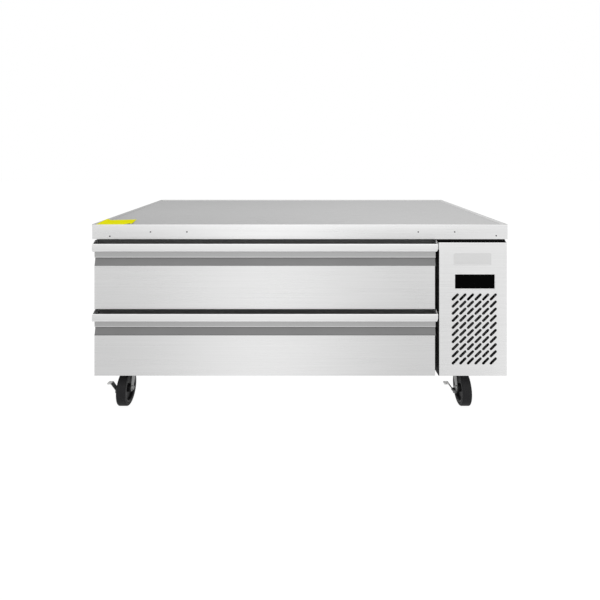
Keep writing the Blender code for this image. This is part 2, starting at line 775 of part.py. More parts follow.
def build_front_panel(finishes):
    outer_x = (BAY_X, BODY_X)
    outer_z = (CASTER_HEIGHT - SKIN, SKIRT_Z - PANEL_TOP_GAP)
    depth = (FRONT_Y, FRONT_Y + PANEL_RETURN)
    hollow = (grown(outer_x, -SHEET), (FRONT_Y + SHEET, depth[1]), grown(outer_z, -SHEET))
    window = (WINDOW_X, (FRONT_Y, FRONT_Y + SHEET), WINDOW_Z)
    panel_box = (outer_x, depth, outer_z)
    panel = build_boxes("machine_front_panel", finishes["steel"], [panel_box], [hollow, window])
    through = (FRONT_Y - OVERRUN, FRONT_Y + SHEET + OVERRUN)
    columns = places_between(BODY_X - SLOT_RIGHT_MARGIN, BAY_X + SLOT_LEFT_MARGIN, SLOT_PITCH_X)
    rows = places_between(WINDOW_Z[0] - SLOT_DROP, outer_z[0] + SLOT_BOTTOM_MARGIN, SLOT_PITCH_Z)
    bm = bmesh.new()
    for middle_x in columns:
        for middle_z in rows:
            add_prism(bm, slot_outline((middle_x, middle_z)), 1, through)
    return cut(panel, add_object("slots", bm))


def build_control(finishes):
    face_x, face_z = grown(WINDOW_X, -SEAT), grown(WINDOW_Z, -SEAT)
    flange_x, flange_z = grown(WINDOW_X, FASCIA_FLANGE), grown(WINDOW_Z, FASCIA_FLANGE)
    flange_y = (FRONT_Y + SKIN, FRONT_Y + SKIN + FASCIA_THICKNESS)
    boxes = [(face_x, (FRONT_Y, flange_y[1]), face_z), (flange_x, flange_y, flange_z)]
    build_boxes("control_fascia", finishes["window"], boxes)
    body_y = (flange_y[1] + SEAT, flange_y[1] + SEAT + CONTROLLER_DEPTH)
    body = (grown(WINDOW_X, -CONTROLLER_MARGIN), body_y, face_z)
    build_boxes("temperature_controller", finishes["plastic"], [body])


def build_side_panel(finishes):
    panel = ((BODY_X - SHEET, BODY_X), (FRAME_Y, BODY_BACK), (CASTER_HEIGHT, BODY_TOP))
    build_boxes("machine_side_panel", finishes["steel"], [panel])


def gland_place():
    return (BODY_X - GLAND_SIDE_MARGIN, CASTER_HEIGHT + GLAND_RISE)


def build_grille(finishes):
    depth = (BODY_BACK - SHEET, BODY_BACK)
    plate = ((BAY_X + SEAT, BODY_X - SKIN), depth, (FLOOR_Z + SEAT, BODY_TOP))
    slots = []
    for middle in places_between(CASTER_HEIGHT + GRILLE_RISE, BODY_TOP - GRILLE_DROP, GRILLE_PITCH):
        slots.append((grown((BAY_X, BODY_X), -GRILLE_SIDE_MARGIN), depth, around(middle, GRILLE_SLOT_HEIGHT)))
    grille = build_boxes("machine_rear_grille", finishes["galvanised"], [plate], slots)
    gland_x, gland_z = gland_place()
    through = (depth[0] - OVERRUN, depth[1] + OVERRUN)
    return cut(grille, rod(1, (gland_x, 0.0, gland_z), through, GLAND_RADIUS + SEAT, 16))


def build_gland(finishes):
    gland_x, gland_z = gland_place()
    flange = BODY_BACK + SEAT
    profile = [
        (BODY_BACK - GLAND_INNER_LENGTH, GLAND_BORE),
        (BODY_BACK - GLAND_INNER_LENGTH, GLAND_RADIUS),
        (flange, GLAND_RADIUS),
        (flange, GLAND_FLANGE_RADIUS),
        (flange + GLAND_FLANGE, GLAND_FLANGE_RADIUS),
        (flange + GLAND_FLANGE, GLAND_BORE),
    ]
    build_lathe("power_cord_gland", finishes["black"], profile, 1, (gland_x, 0.0, gland_z), 16)


# Condensing unit and evaporator

def coil_boxes(ends, depth, height, fins):
    """A finned coil: end plates and fins across X round a core that stops short of their edges."""
    boxes = [(ends, grown(depth, -COIL_FIN_REACH), grown(height, -COIL_FIN_REACH))]
    boxes.append(((ends[0], ends[0] + COIL_END), depth, height))
    boxes.append(((ends[1] - COIL_END, ends[1]), depth, height))
    for fin in range(1, fins + 1):
        place = ends[0] + (ends[1] - ends[0]) * fin / (fins + 1)
        boxes.append((around(place, COIL_FIN), depth, height))
    return boxes


def build_fan(name, finish, middle, start, radius, hub_radius):
    """Hub with a shaft bore and twisted blades, turning about Y."""
    middle_y = start + FAN_HUB_LENGTH / 2
    bore = FAN_SHAFT_RADIUS + SEAT
    profile = [
        (-FAN_HUB_LENGTH / 2, bore),
        (-FAN_HUB_LENGTH / 2, hub_radius),
        (FAN_HUB_LENGTH / 2, hub_radius),
        (FAN_HUB_LENGTH / 2, bore),
    ]
    fan = build_lathe(name, finish, profile, 1, (0.0, 0.0, 0.0), 20)
    root = (bore + hub_radius) / 2
    chord = FAN_BLADE_CHORD_SHARE * radius
    for blade in range(FAN_BLADES):
        bm = boxes_bmesh([(around(0.0, chord), around(0.0, FAN_BLADE_THICKNESS), (root, radius))])
        turn = Matrix.Rotation(2 * math.pi * blade / FAN_BLADES, 4, "Y")
        bm.transform(turn @ Matrix.Rotation(FAN_BLADE_PITCH, 4, "Z"))
        trim = rod(1, (0.0, 0.0, 0.0), (-radius, radius), radius, 40)
        fuse(fan, combine(add_object("blade", bm), trim, "INTERSECT"))
    fan.location = (middle[0], middle_y, middle[1])
    return fan


def build_fan_motor(name, finish, middle, fan_start, sizes, seat_y, arm_reach):
    """Motor behind a fan, with a shaft through the fan's bore and four arms that reach forward to a plate."""
    radius, length = sizes
    origin = (middle[0], 0.0, middle[1])
    start = fan_start + FAN_HUB_LENGTH + FAN_MOTOR_GAP
    nose = radius / 2
    profile = [(start, 0.0), (start, nose), (start + FAN_MOTOR_GAP, radius)]
    profile += [(start + length, radius), (start + length, 0.0)]
    motor = build_lathe(name, finish, profile, 1, origin, 20)
    arm_y = around(start + length / 2, ARM_THICKNESS)
    post_y = (seat_y, arm_y[1])
    arms = []
    for axis in range(2):
        bar = [around(middle[0], ARM_WIDTH), arm_y, around(middle[1], ARM_WIDTH)]
        bar[2 * axis] = around(middle[axis], 2 * arm_reach)
        arms.append(tuple(bar))
        for side in (-1, 1):
            post = list(bar)
            end = middle[axis] + side * (arm_reach - ARM_THICKNESS / 2)
            post[2 * axis] = around(end, ARM_THICKNESS)
            post[1] = post_y
            arms.append(tuple(post))
    shaft = rod(1, origin, (fan_start, start + ARM_OVERLAP), FAN_SHAFT_RADIUS, 12)
    return fuse(motor, build_boxes("arms", None, arms), shaft)


def build_condenser(finishes):
    coil_y = (FRONT_Y + CONDENSER_CLEARANCE, FRONT_Y + CONDENSER_CLEARANCE + CONDENSER_THICKNESS)
    coil_z = (FLOOR_Z + SEAT, CONDENSER_TOP)
    coil_x = grown((BAY_X, BODY_X), -CONDENSER_SIDE_GAP)
    boxes = coil_boxes(coil_x, coil_y, coil_z, CONDENSER_FINS)
    build_boxes("condenser_coil", finishes["fins"], boxes)

    shroud_y = (coil_y[1] + SEAT, coil_y[1] + SEAT + SHROUD_DEPTH)
    hollow = (grown(coil_x, -SHEET), (shroud_y[0], shroud_y[1] - SHEET), grown(coil_z, -SHEET))
    shroud_box = (coil_x, shroud_y, coil_z)
    shroud = build_boxes("condenser_fan_shroud", finishes["galvanised"], [shroud_box], [hollow])
    middle = (BAY_MIDDLE, sum(coil_z) / 2)
    hole = min(coil_x[1] - coil_x[0], coil_z[1] - coil_z[0]) / 2 - SHROUD_MARGIN
    through = (shroud_y[1] - SHEET - OVERRUN / 2, shroud_y[1] + OVERRUN)
    cut(shroud, rod(1, (middle[0], 0.0, middle[1]), through, hole, 40))

    fan_start = shroud_y[1] - FAN_HUB_LENGTH / 2
    tip = hole - FAN_TIP_GAP
    build_fan("condenser_fan_blade", finishes["fan"], middle, fan_start, tip, CONDENSER_HUB_RADIUS)
    sizes = (CONDENSER_MOTOR_RADIUS, CONDENSER_MOTOR_LENGTH)
    seat_y = shroud_y[1] + SEAT
    build_fan_motor(
        "condenser_fan_motor", finishes["motor"], middle, fan_start, sizes, seat_y, hole + ARM_WIDTH
    )
    return (coil_x[1] - LINE_BEND, sum(coil_y) / 2, coil_z[1])


def build_compressor(finishes):
    """Welded dome on a base plate with four feet, and a stub for the suction line at its back."""
    middle_y = FRONT_Y + (BODY_BACK - FRONT_Y) * COMPRESSOR_PLACE_SHARE
    origin = (BAY_MIDDLE, middle_y, FLOOR_Z + SEAT)
    base = COMPRESSOR_FOOT_HEIGHT
    top = base + COMPRESSOR_HEIGHT
    seam = base + COMPRESSOR_HEIGHT / 2
    waist = COMPRESSOR_RADIUS - COMPRESSOR_WAIST
    dome = COMPRESSOR_RADIUS / 2
    profile = [(base, 0.0), (base, waist), (seam - COMPRESSOR_WAIST, waist)]
    profile += [(seam - COMPRESSOR_WAIST, COMPRESSOR_RADIUS), (seam + COMPRESSOR_WAIST, COMPRESSOR_RADIUS)]
    profile += [(seam + COMPRESSOR_WAIST, waist)]
    for angle in (0, 22.5, 45, 67.5):
        turn = math.radians(angle)
        profile.append((top - dome + dome * math.sin(turn), waist - dome + dome * math.cos(turn)))
    profile.append((top, 0.0))
    shell = build_lathe("compressor", finishes["black"], profile, 2, origin, 28)
    plate_z = (origin[2] + base, origin[2] + base + COMPRESSOR_BASE_THICKNESS)
    plate_x = around(BAY_MIDDLE, COMPRESSOR_BASE_WIDTH)
    plate_y = around(middle_y, COMPRESSOR_BASE_LENGTH)
    fuse(shell, build_boxes("plate", None, [(plate_x, plate_y, plate_z)]))
    inset = COMPRESSOR_FOOT_RADIUS + COMPRESSOR_BASE_THICKNESS
    for foot_x in grown(plate_x, -inset):
        for foot_y in grown(plate_y, -inset):
            pair = (origin[2], plate_z[0] + COMPRESSOR_BASE_THICKNESS / 2)
            fuse(shell, rod(2, (foot_x, foot_y, 0.0), pair, COMPRESSOR_FOOT_RADIUS, 12))
    stub_z = origin[2] + seam + 2 * STUB_RADIUS
    stub_y = (middle_y + waist / 2, middle_y + waist + STUB_LENGTH)
    fuse(shell, rod(1, (BAY_MIDDLE, 0.0, stub_z), stub_y, STUB_RADIUS, 12))
    return (BAY_MIDDLE, stub_y[1], stub_z)


def build_bay_fittings(finishes, stub):
    tray_x = grown((BAY_X, BODY_X), -PAN_TRAY_SIDE_GAP)
    tray_end = BODY_BACK - PAN_TRAY_FROM_BACK
    tray_y = (tray_end - (tray_end - stub[1]) * PAN_TRAY_LENGTH_SHARE, tray_end)
    tray = (tray_x, tray_y, (FLOOR_Z + SEAT, FLOOR_Z + SEAT + PAN_TRAY_HEIGHT))
    hollow = (grown(tray[0], -SHEET), grown(tray[1], -SHEET), (tray[2][0] + SHEET, tray[2][1]))
    build_boxes("condensate_pan", finishes["galvanised"], [tray], [hollow])
    top = BODY_TOP - ELECTRICAL_DROP
    start = FRONT_Y + CONDENSER_CLEARANCE + ELECTRICAL_SETBACK
    case = (
        (BAY_X + SEAT, BAY_X + SEAT + ELECTRICAL_DEPTH),
        (start, start + ELECTRICAL_LENGTH),
        (top - ELECTRICAL_HEIGHT, top),
    )
    build_boxes("electrical_box", finishes["plastic"], [case])


def build_evaporator(finishes):
    coil_y = (CAVITY_Y[1] - SEAT - EVAPORATOR_THICKNESS, CAVITY_Y[1] - SEAT)
    coil_z = (CAVITY_Z[0] + EVAPORATOR_RISE, PORT_Z[1] + EVAPORATOR_ABOVE_PORT)
    boxes = coil_boxes(around(CAVITY_MIDDLE, EVAPORATOR_WIDTH), coil_y, coil_z, EVAPORATOR_FINS)
    build_boxes("evaporator_coil", finishes["fins"], boxes)

    cover_top = coil_z[1] + EVAPORATOR_COVER_GAP
    inside_x = grown(CAVITY_X, -SEAT)
    front = (inside_x, (COVER_Y, COVER_Y + SHEET), (CAVITY_Z[0] + SEAT, cover_top))
    roof = (inside_x, (COVER_Y, CAVITY_Y[1] - SEAT), (cover_top - SHEET, cover_top))
    pitch = (CAVITY_X[1] - CAVITY_X[0]) * RETURN_PITCH_SHARE
    low = CAVITY_Z[0] + RETURN_SLOT_RISE
    slots = []
    for slot in range(RETURN_SLOTS):
        slot_x = around(CAVITY_MIDDLE + (slot - (RETURN_SLOTS - 1) / 2) * pitch, pitch * RETURN_SLOT_SHARE)
        slots.append((slot_x, front[1], (low, low + RETURN_SLOT_HEIGHT)))
    cover = build_boxes("evaporator_cover", finishes["liner"], [front, roof], slots)
    middle = (CAVITY_MIDDLE, sum(coil_z) / 2)
    through = (COVER_Y - OVERRUN, COVER_Y + OVERRUN)
    cut(cover, rod(1, (middle[0], 0.0, middle[1]), through, EVAPORATOR_FAN_HOLE_RADIUS, 32))

    fan_start = COVER_Y - FAN_HUB_LENGTH / 2 + SHEET
    tip = EVAPORATOR_FAN_HOLE_RADIUS - FAN_TIP_GAP
    build_fan("evaporator_fan_blade", finishes["fan"], middle, fan_start, tip, EVAPORATOR_HUB_RADIUS)
    sizes = (EVAPORATOR_MOTOR_RADIUS, EVAPORATOR_MOTOR_LENGTH)
    reach = EVAPORATOR_FAN_HOLE_RADIUS + ARM_WIDTH
    seat_y = COVER_Y + SKIN
    build_fan_motor("evaporator_fan_motor", finishes["motor"], middle, fan_start, sizes, seat_y, reach)


def build_lines(finishes, stub, outlet):
    """Suction line from evaporator to compressor, and the liquid line with its drier from the condenser."""
    port_y, port_z = sum(PORT_Y) / 2, sum(PORT_Z) / 2
    coil_end = CAVITY_MIDDLE + EVAPORATOR_WIDTH / 2 + SEAT
    suction_z = port_z - LINE_SPACING / 2
    turn_y = stub[1] + SUCTION_RUN
    suction = [
        (stub[0], stub[1] + SEAT, stub[2]),
        (stub[0], turn_y, stub[2]),
        (stub[0], turn_y, suction_z),
        (stub[0], port_y, suction_z),
        (coil_end, port_y, suction_z),
    ]
    build_tube("suction_line", finishes["copper"], suction, SUCTION_RADIUS)
    liquid_z = port_z + LINE_SPACING / 2
    liquid = [
        (outlet[0], outlet[1], outlet[2] + SEAT),
        (outlet[0], outlet[1], liquid_z),
        (outlet[0], port_y, liquid_z),
        (coil_end, port_y, liquid_z),
    ]
    line = build_tube("liquid_line", finishes["copper"], liquid, LIQUID_RADIUS)
    neck = DRIER_RADIUS
    drier = [
        (0.0, 0.0),
        (neck, DRIER_RADIUS),
        (DRIER_LENGTH - neck, DRIER_RADIUS),
        (DRIER_LENGTH, 0.0),
    ]
    fuse(line, build_lathe("drier", None, drier, 1, (outlet[0], stub[1], liquid_z), 16))


# Casters, built about their swivel axis with the floor at zero, and with the wheel leading towards the front

def wheel_mesh(finishes):
    half, hub = WHEEL_WIDTH / 2, HUB_WIDTH / 2
    bore = AXLE_RADIUS + SEAT
    tyre = WHEEL_RADIUS - TYRE_THICKNESS
    rim = tyre - RIM_THICKNESS
    web = WEB_THICKNESS / 2
    shoulder = [(half - TREAD_ROUNDING / 3, WHEEL_RADIUS - TREAD_ROUNDING / 3)]
    side = [(half - RIM_THICKNESS / 3, tyre), (half, WHEEL_RADIUS - TREAD_ROUNDING), *shoulder]
    side.append((half - TREAD_ROUNDING, WHEEL_RADIUS))
    outward = [(hub, bore), (hub, HUB_RADIUS), (web, HUB_RADIUS), (web, rim), (half - RIM_THICKNESS / 3, rim)]
    right = outward + side
    left = [(-along, radius) for along, radius in reversed(right)]
    wheel = build_lathe("wheel", finishes["rubber"], right + left, 0, (0.0, 0.0, 0.0), 36)
    return take_mesh(wheel)


def take_mesh(source):
    mesh = source.data
    bpy.data.objects.remove(source)
    return mesh


def leg_outline(top):
    """A fork leg seen from the side: wide under the bridge, round at the axle."""
    half = FORK_BRIDGE_LENGTH / 2
    foot = arc((-CASTER_TRAIL, WHEEL_RADIUS), FORK_FOOT_RADIUS, math.radians(170), math.radians(340), 6)
    return [(half, top), (-half, top), *foot]


def fork_mesh(finishes, braked):
    """Fork with its swivel head, legs and axle, and the ears and pin of the lever on a braked caster."""
    leg_x = (HUB_WIDTH / 2 + SEAT, HUB_WIDTH / 2 + SEAT + FORK_SHEET)
    low = 2 * WHEEL_RADIUS + WHEEL_CLEARANCE
    high = low + FORK_TOP
    bridge = ((-leg_x[1], leg_x[1]), around(0.0, FORK_BRIDGE_LENGTH), (low, high))
    fork = build_boxes("fork", finishes["zinc"], [bridge])
    middle = (low + high) / 2
    for pair in (leg_x, (-leg_x[1], -leg_x[0])):
        fuse(fork, build_prism("leg", None, leg_outline(middle), 0, pair))
    fuse(fork, rod(2, (0.0, 0.0, 0.0), (low, high), FORK_HEAD_RADIUS, 28))
    bore = KINGPIN_RADIUS + SEAT
    cut(fork, rod(2, (0.0, 0.0, 0.0), (low - OVERRUN, high + OVERRUN), bore, 16))
    axle = (0.0, -CASTER_TRAIL, WHEEL_RADIUS)
    reach = leg_x[1] + AXLE_HEAD_THICKNESS
    fuse(fork, rod(0, axle, (-reach, reach), AXLE_RADIUS, 12))
    for pair in ((leg_x[1] - FORK_SHEET / 2, reach), (-reach, FORK_SHEET / 2 - leg_x[1])):
        fuse(fork, rod(0, axle, pair, AXLE_HEAD_RADIUS, 6))
    if braked:
        fuse(fork, brake_ears(leg_x[1]))
    return take_mesh(fork)


def brake_pin(leg_face):
    """The lever's pin, beside the axle's end: (x, y, z) about the swivel axis."""
    reach = AXLE_HEAD_THICKNESS + SEAT + BRAKE_EYE_RADIUS
    return (-leg_face - reach, -CASTER_TRAIL, BRAKE_PIN_HEIGHT)


def brake_ears(leg_face):
    """Two ears and the pin between them, as one solid on the fork's outer face."""
    pin = brake_pin(leg_face)
    inner = BRAKE_WIDTH / 2 + SEAT
    ears = []
    for side in (-1, 1):
        ear_y = sorted((pin[1] + side * inner, pin[1] + side * (inner + BRAKE_EAR_THICKNESS)))
        ear_x = (pin[0] - BRAKE_EYE_RADIUS, FORK_SHEET / 2 - leg_face)
        ears.append((ear_x, tuple(ear_y), around(pin[2], 2 * BRAKE_EYE_RADIUS)))
    bracket = build_boxes("ears", None, [ears[0]])
    fuse(bracket, build_boxes("ear", None, [ears[1]]))
    pair = grown((pin[1], pin[1]), inner + BRAKE_EAR_THICKNESS / 2)
    return fuse(bracket, rod(1, (pin[0], 0.0, pin[2]), pair, BRAKE_PIN_RADIUS, 12))


def brake_mesh(finishes):
    """Brake lever about its pin: an eye, an arm that rises outwards and a flat tab for the foot."""
    lift = BRAKE_ARM_THICKNESS
    outline = [
        (0.0, -BRAKE_EYE_RADIUS / 2),
        (-BRAKE_ARM_REACH - lift, BRAKE_ARM_RISE - lift),
        (-BRAKE_ARM_REACH - BRAKE_TAB_LENGTH, BRAKE_ARM_RISE - lift),
        (-BRAKE_ARM_REACH - BRAKE_TAB_LENGTH, BRAKE_ARM_RISE),
        (-BRAKE_ARM_REACH, BRAKE_ARM_RISE),
        (0.0, BRAKE_EYE_RADIUS / 2),
    ]
    width = around(0.0, BRAKE_WIDTH)
    lever = build_prism("lever", finishes["zinc"], outline, 1, width)
    fuse(lever, rod(1, (0.0, 0.0, 0.0), width, BRAKE_EYE_RADIUS, 16))
    cut(lever, rod(1, (0.0, 0.0, 0.0), grown(width, OVERRUN), BRAKE_PIN_RADIUS + SEAT, 12))
    return take_mesh(lever)


def plate_mesh(finishes):
    """Top plate with the upper race, the kingpin and its nut."""
    race = CASTER_HEIGHT - SEAT - PLATE_THICKNESS
    low = race - RACE_THICKNESS
    bridge = low - SEAT - FORK_TOP - SEAT
    plate = build_boxes(
        "plate",
        finishes["zinc"],
        [(around(0.0, PLATE_WIDTH), around(0.0, PLATE_LENGTH), (race, race + PLATE_THICKNESS))],
    )
    fuse(plate, rod(2, (0.0, 0.0, 0.0), (low, race + PLATE_THICKNESS / 2), RACE_RADIUS, 28))
    nut = bridge - KINGPIN_NUT_THICKNESS
    fuse(plate, rod(2, (0.0, 0.0, 0.0), (nut, race), KINGPIN_RADIUS, 16))
    fuse(plate, rod(2, (0.0, 0.0, 0.0), (nut, bridge), KINGPIN_NUT_RADIUS, 6))
    return take_mesh(plate)


def place_mesh(name, mesh, point, parent=None):
    placed = bpy.data.objects.new(name, mesh)
    bpy.context.scene.collection.objects.link(placed)
    placed.location = point
    if parent:
        placed.parent = parent
        placed.matrix_parent_inverse = Matrix.Translation(-parent.location)
    return placed


def build_casters(finishes):
    wheel, brake, plate = wheel_mesh(finishes), brake_mesh(finishes), plate_mesh(finishes)
    forks = {True: fork_mesh(finishes, True), False: fork_mesh(finishes, False)}
    leg_face = HUB_WIDTH / 2 + SEAT + FORK_SHEET
    pin = Vector(brake_pin(leg_face))
    columns = {"left": CASTER_LEFT_INSET - BODY_X, "right": BODY_X - CASTER_RIGHT_INSET}
    rows = {"front": FRAME_Y + CASTER_FRONT_INSET, "back": BODY_BACK - CASTER_BACK_INSET}
    for row, swivel_y in rows.items():
        for column, swivel_x in columns.items():
            name = f"{row}_{column}_caster"
            swivel = Vector((swivel_x, swivel_y, 0.0))
            braked = row == "front"
            place_mesh(name + "_plate", plate, swivel)
            fork = place_mesh(name + "_fork", forks[braked], swivel)
            axle = swivel + Vector((0.0, -CASTER_TRAIL, WHEEL_RADIUS))
            place_mesh(name + "_wheel", wheel, axle, fork)
            if braked:
                place_mesh(name + "_brake", brake, swivel + pin, fork)


def build_all():
    clear_scene()
    finishes = make_finishes()
    build_worktop(finishes)
    build_cabinet(finishes)
    build_drawer("upper_drawer", finishes, UPPER_FRONT_Z, UPPER_OPENING_Z)
    build_drawer("lower_drawer", finishes, LOWER_FRONT_Z, LOWER_OPENING_Z)
    build_front_panel(finishes)
    build_control(finishes)
    build_side_panel(finishes)
    build_grille(finishes)
    build_gland(finishes)
    outlet = build_condenser(finishes)
    stub = build_compressor(finishes)
    build_bay_fittings(finishes, stub)
    build_evaporator(finishes)
    build_lines(finishes, stub, outlet)
    build_casters(finishes)


build_all()
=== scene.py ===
# Chef base freezer: finishes, formed sheet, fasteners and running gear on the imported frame, in a pale studio
# Metres, +Z up, front towards -Y, +X to the viewer's right when facing the drawers.

import json
import math

import bmesh
import bpy
from mathutils import Matrix, Vector


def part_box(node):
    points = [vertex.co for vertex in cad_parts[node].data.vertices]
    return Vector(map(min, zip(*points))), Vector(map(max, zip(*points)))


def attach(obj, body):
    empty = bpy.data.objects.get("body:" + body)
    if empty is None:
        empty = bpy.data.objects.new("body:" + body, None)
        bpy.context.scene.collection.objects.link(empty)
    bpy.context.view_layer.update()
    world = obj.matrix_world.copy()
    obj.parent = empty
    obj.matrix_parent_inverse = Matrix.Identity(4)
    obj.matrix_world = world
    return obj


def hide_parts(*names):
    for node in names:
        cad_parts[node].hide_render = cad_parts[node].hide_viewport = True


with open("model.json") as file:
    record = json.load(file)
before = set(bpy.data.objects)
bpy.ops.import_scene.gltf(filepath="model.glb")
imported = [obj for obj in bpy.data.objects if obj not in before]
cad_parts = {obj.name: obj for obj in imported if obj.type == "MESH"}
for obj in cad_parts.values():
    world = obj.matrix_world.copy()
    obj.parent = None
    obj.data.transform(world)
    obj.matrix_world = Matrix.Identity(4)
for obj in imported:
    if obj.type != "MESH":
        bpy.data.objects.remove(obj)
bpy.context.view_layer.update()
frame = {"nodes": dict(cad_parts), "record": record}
nodes = frame["nodes"]

BODY_OF = {node: body for body, held in frame["record"]["behaviour"]["bodies"].items() for node in held}
DRAWERS = ("upper_drawer", "lower_drawer")
CASTERS = tuple(f"{row}_{column}_caster" for row in ("front", "back") for column in ("left", "right"))

# Rounding and clean-up of formed copies
MERGE = 1e-5
FLAT = math.radians(0.5)
SHARP = math.radians(25)
SOFT = math.radians(60)
SMALL_STEPS = 4

# Worktop, the sheet under its overhang, and the screws in its skirt as x: z
SHEET = 0.0015
SKIRT_DROP = 0.0009
CORNER_RADIUS = 0.005
CORNER_STEPS = 8
RIM_WIDTH = 0.012
RIM_RISE = 0.004
RIM_ROUNDING = 0.0022
RIM_STEPS = 8
# Share of the rim's front rounding behind which the rim's top takes the darker deck copy, painted shade that
# dims its highlight
RIM_SPLIT = 0.1
FILLET_STEPS = 3
UNDERSIDE_INSET = 0.0004
UNDERSIDE_LAYER = (0.0009, 0.0001)
UNDERSIDE_RADIUS = 0.002
SKIRT_SCREW = {"radius": 0.0027, "height": 0.0010}
SKIRT_SCREWS = {-0.6976: 0.661, -0.5485: 0.677, -0.4147: 0.677, 0.4349: 0.677, 0.5689: 0.677, 0.7214: 0.663}

# Film on the worktop's front left corner
FILM = 0.0003
FILM_CORNERS = ((-0.748, -0.4072), (-0.625, -0.390), (-0.650, -0.266), (-0.7625, -0.284))
FILM_COLUMNS = 24
FILM_ROWS = 26
FILM_GATHER = 1.4
FILM_SLOPE = 0.006
FILM_EDGE = 0.0003
FILM_CUT_SHARE = 0.84
FILM_LIFT = 0.0022
FILM_LIFT_SHARE = 0.88
FILM_CREASE = 0.0003
FILM_WAVES = (14.0, 9.0)
FILM_FADE = 4.0

# Handles: heights go down from the lip's top, which stands a rise above the front skin
HANDLE_RISE = 0.0834
SEAM_DROP = {"upper_drawer": 0.0004, "lower_drawer": 0.0017}
LIP_DROP = {"upper_drawer": 0.0002, "lower_drawer": 0.0005}
HANDLE_SHEET = 0.002
LIP_THICKNESS = 0.0046
HEM_DROP = 0.014
LIP_HEIGHT = 0.0255
LIP_BEND = 0.0075
LIP_REACH = 0.022
UNDERSIDE_DROP = 0.0067
HANDLE_OVERHANG = 0.0055
TAPER = 0.0030
TAPER_TOP = 0.010
TAPER_FOOT = -0.002
BAND_HEIGHT = 0.0222
BEAD_HEIGHT = 0.0040
GRIP_DEPTH = 0.0075
GRIP_GAP = 0.0004
SEAM_LAP = 0.0005
SEAM_RISE = 0.0016
CHANNEL_BACK = 0.045
CHANNEL_RISE = 0.0413
CHANNEL_GAP = 0.0002
END_INSET = 0.0006
END_GAP = 0.0002
END_FOOT = 0.0010
END_SHOULDER = (0.0026, 0.0008)
END_CORNER = 0.0020
BEND_RADIUS = 0.0022
BEND_STEPS = 6
FRONT_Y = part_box("machine_front_panel")[0].y
SKIN_FOLD = 0.001
SKIN_HEM = {"upper_drawer": 0.0012, "lower_drawer": 0.0}

# Control window, blank plate and air slots, with profiles of (spread from the outline, distance out)
WINDOW_X = (0.5704, 0.7148)
WINDOW_Z = (0.4695, 0.5206)
WINDOW_RADIUS = 0.0006
WINDOW_GROWTH = 0.3
LENS_MARGIN = 0.0004
LENS_LAYER = (0.0001, 0.0006)
BEZEL_GAP = 0.0001
BEZEL = ((0.0, 0.0001), (0.0, 0.0008), (0.0006, 0.0013), (0.0034, 0.0013), (0.0042, 0.0007), (0.0044, 0.0001))
PLATE_MIDDLE = (0.6344, 0.577)
PLATE_SIZE = (0.138, 0.046)
PLATE_RADIUS = 0.006
PLATE = ((0.0, 0.0001), (0.0, 0.0006), (-0.0004, 0.0009), (-0.0022, 0.0009), (-0.0026, 0.0007))
SLOT_COLUMNS = 6
SLOT_ROWS = 10
SLOT_FIRST = (0.5709, 0.438)
SLOT_PITCH = (0.0279, 0.0261)
SLOT_LENGTH = 0.0336
SLOT_WIDTH = 0.007
SLOT_LEAN = math.radians(45)
SLOT_END = 0.8
SLOT_STEPS = 5
SLOT_LIP = (
    (-0.0002, -0.0006),
    (-0.0002, 0.0002),
    (0.0013, 0.0002),
    (0.0013, 0.0001),
    (0.0001, 0.0001),
    (0.0001, -0.0006),
)

# Machine bay panel, black strips painted in as shade in its gaps, and the seal at its rear joint
PANEL_SPREAD = 0.0007
PANEL_TRIM = 0.0015
STRIP_LAP = 0.0001
EDGE_SHEET = 0.0005
EDGE_CORNER = 0.6
EDGE_DEPTH = 0.056
EDGE_FOOT = 0.001
EDGE_WRAP = 0.0019
EDGE_TOP = 0.612
STRIP_SHEET = 0.0008
STRIP_BACK = 0.022
STRIP_START = 0.0015
STRIP_END = 0.0004
STRIP_BEND = 0.0012
GUSSET_START = 0.006
GUSSET_SHEET = 0.0012
SEAL_GAP = 0.0002
SEAL_SHEET = 0.0013
SEAL_LAP = 0.0022
SEAL_RADIUS = 0.0005
SEAL_ENDS = (0.003, 0.001)

# Casters: wheels, and the sleeves on the brake levers
TYRE_HALF = 0.0172
TYRE_DEPTH = 0.013
TREAD_ROUNDING = 0.0042
TREAD_FLAT = 0.35
CORE_DEPTH = 0.006
RING_DEPTH = 0.003
RING_WIDTH = 0.0012
WHEEL_STEPS = 72
PAD_WALL = 0.0005
PAD_LENGTH = 0.0165
PAD_DEPTH = 0.0036
PAD_RADIUS = 0.0025

# Fasteners: the screw's dome, flat top and socket in shares of its size, and the bolt head as (along, radius)
SCREW_RADIUS = 0.0036
SCREW_HEIGHT = 0.0016
SCREW_INSET = SCREW_RADIUS * 3.5
SCREW_STEPS = 12
SCREW_DOME = (0.72, 0.28)
SCREW_FLAT = 0.66
SOCKET_RADIUS = 0.42
SOCKET_FLOOR = 0.35
DOME_STEPS = 5
BOLT_HEAD = ((0.0, 0.0), (0.0, 0.0058), (-0.0034, 0.0058), (-0.0040, 0.0050), (-0.0040, 0.0))
BOLT_INSET = 0.010
BOLT_SEAT = 0.004

# Evaporator fan guard
GUARD_WIRE = 0.0011
GUARD_SIDES = 8
GUARD_STEPS = 56
GUARD_RINGS = (0.25, 0.5, 0.75, 0.98)
GUARD_REACH = 0.0130
GUARD_RIM = 0.0085
GUARD_SPOKES = 6

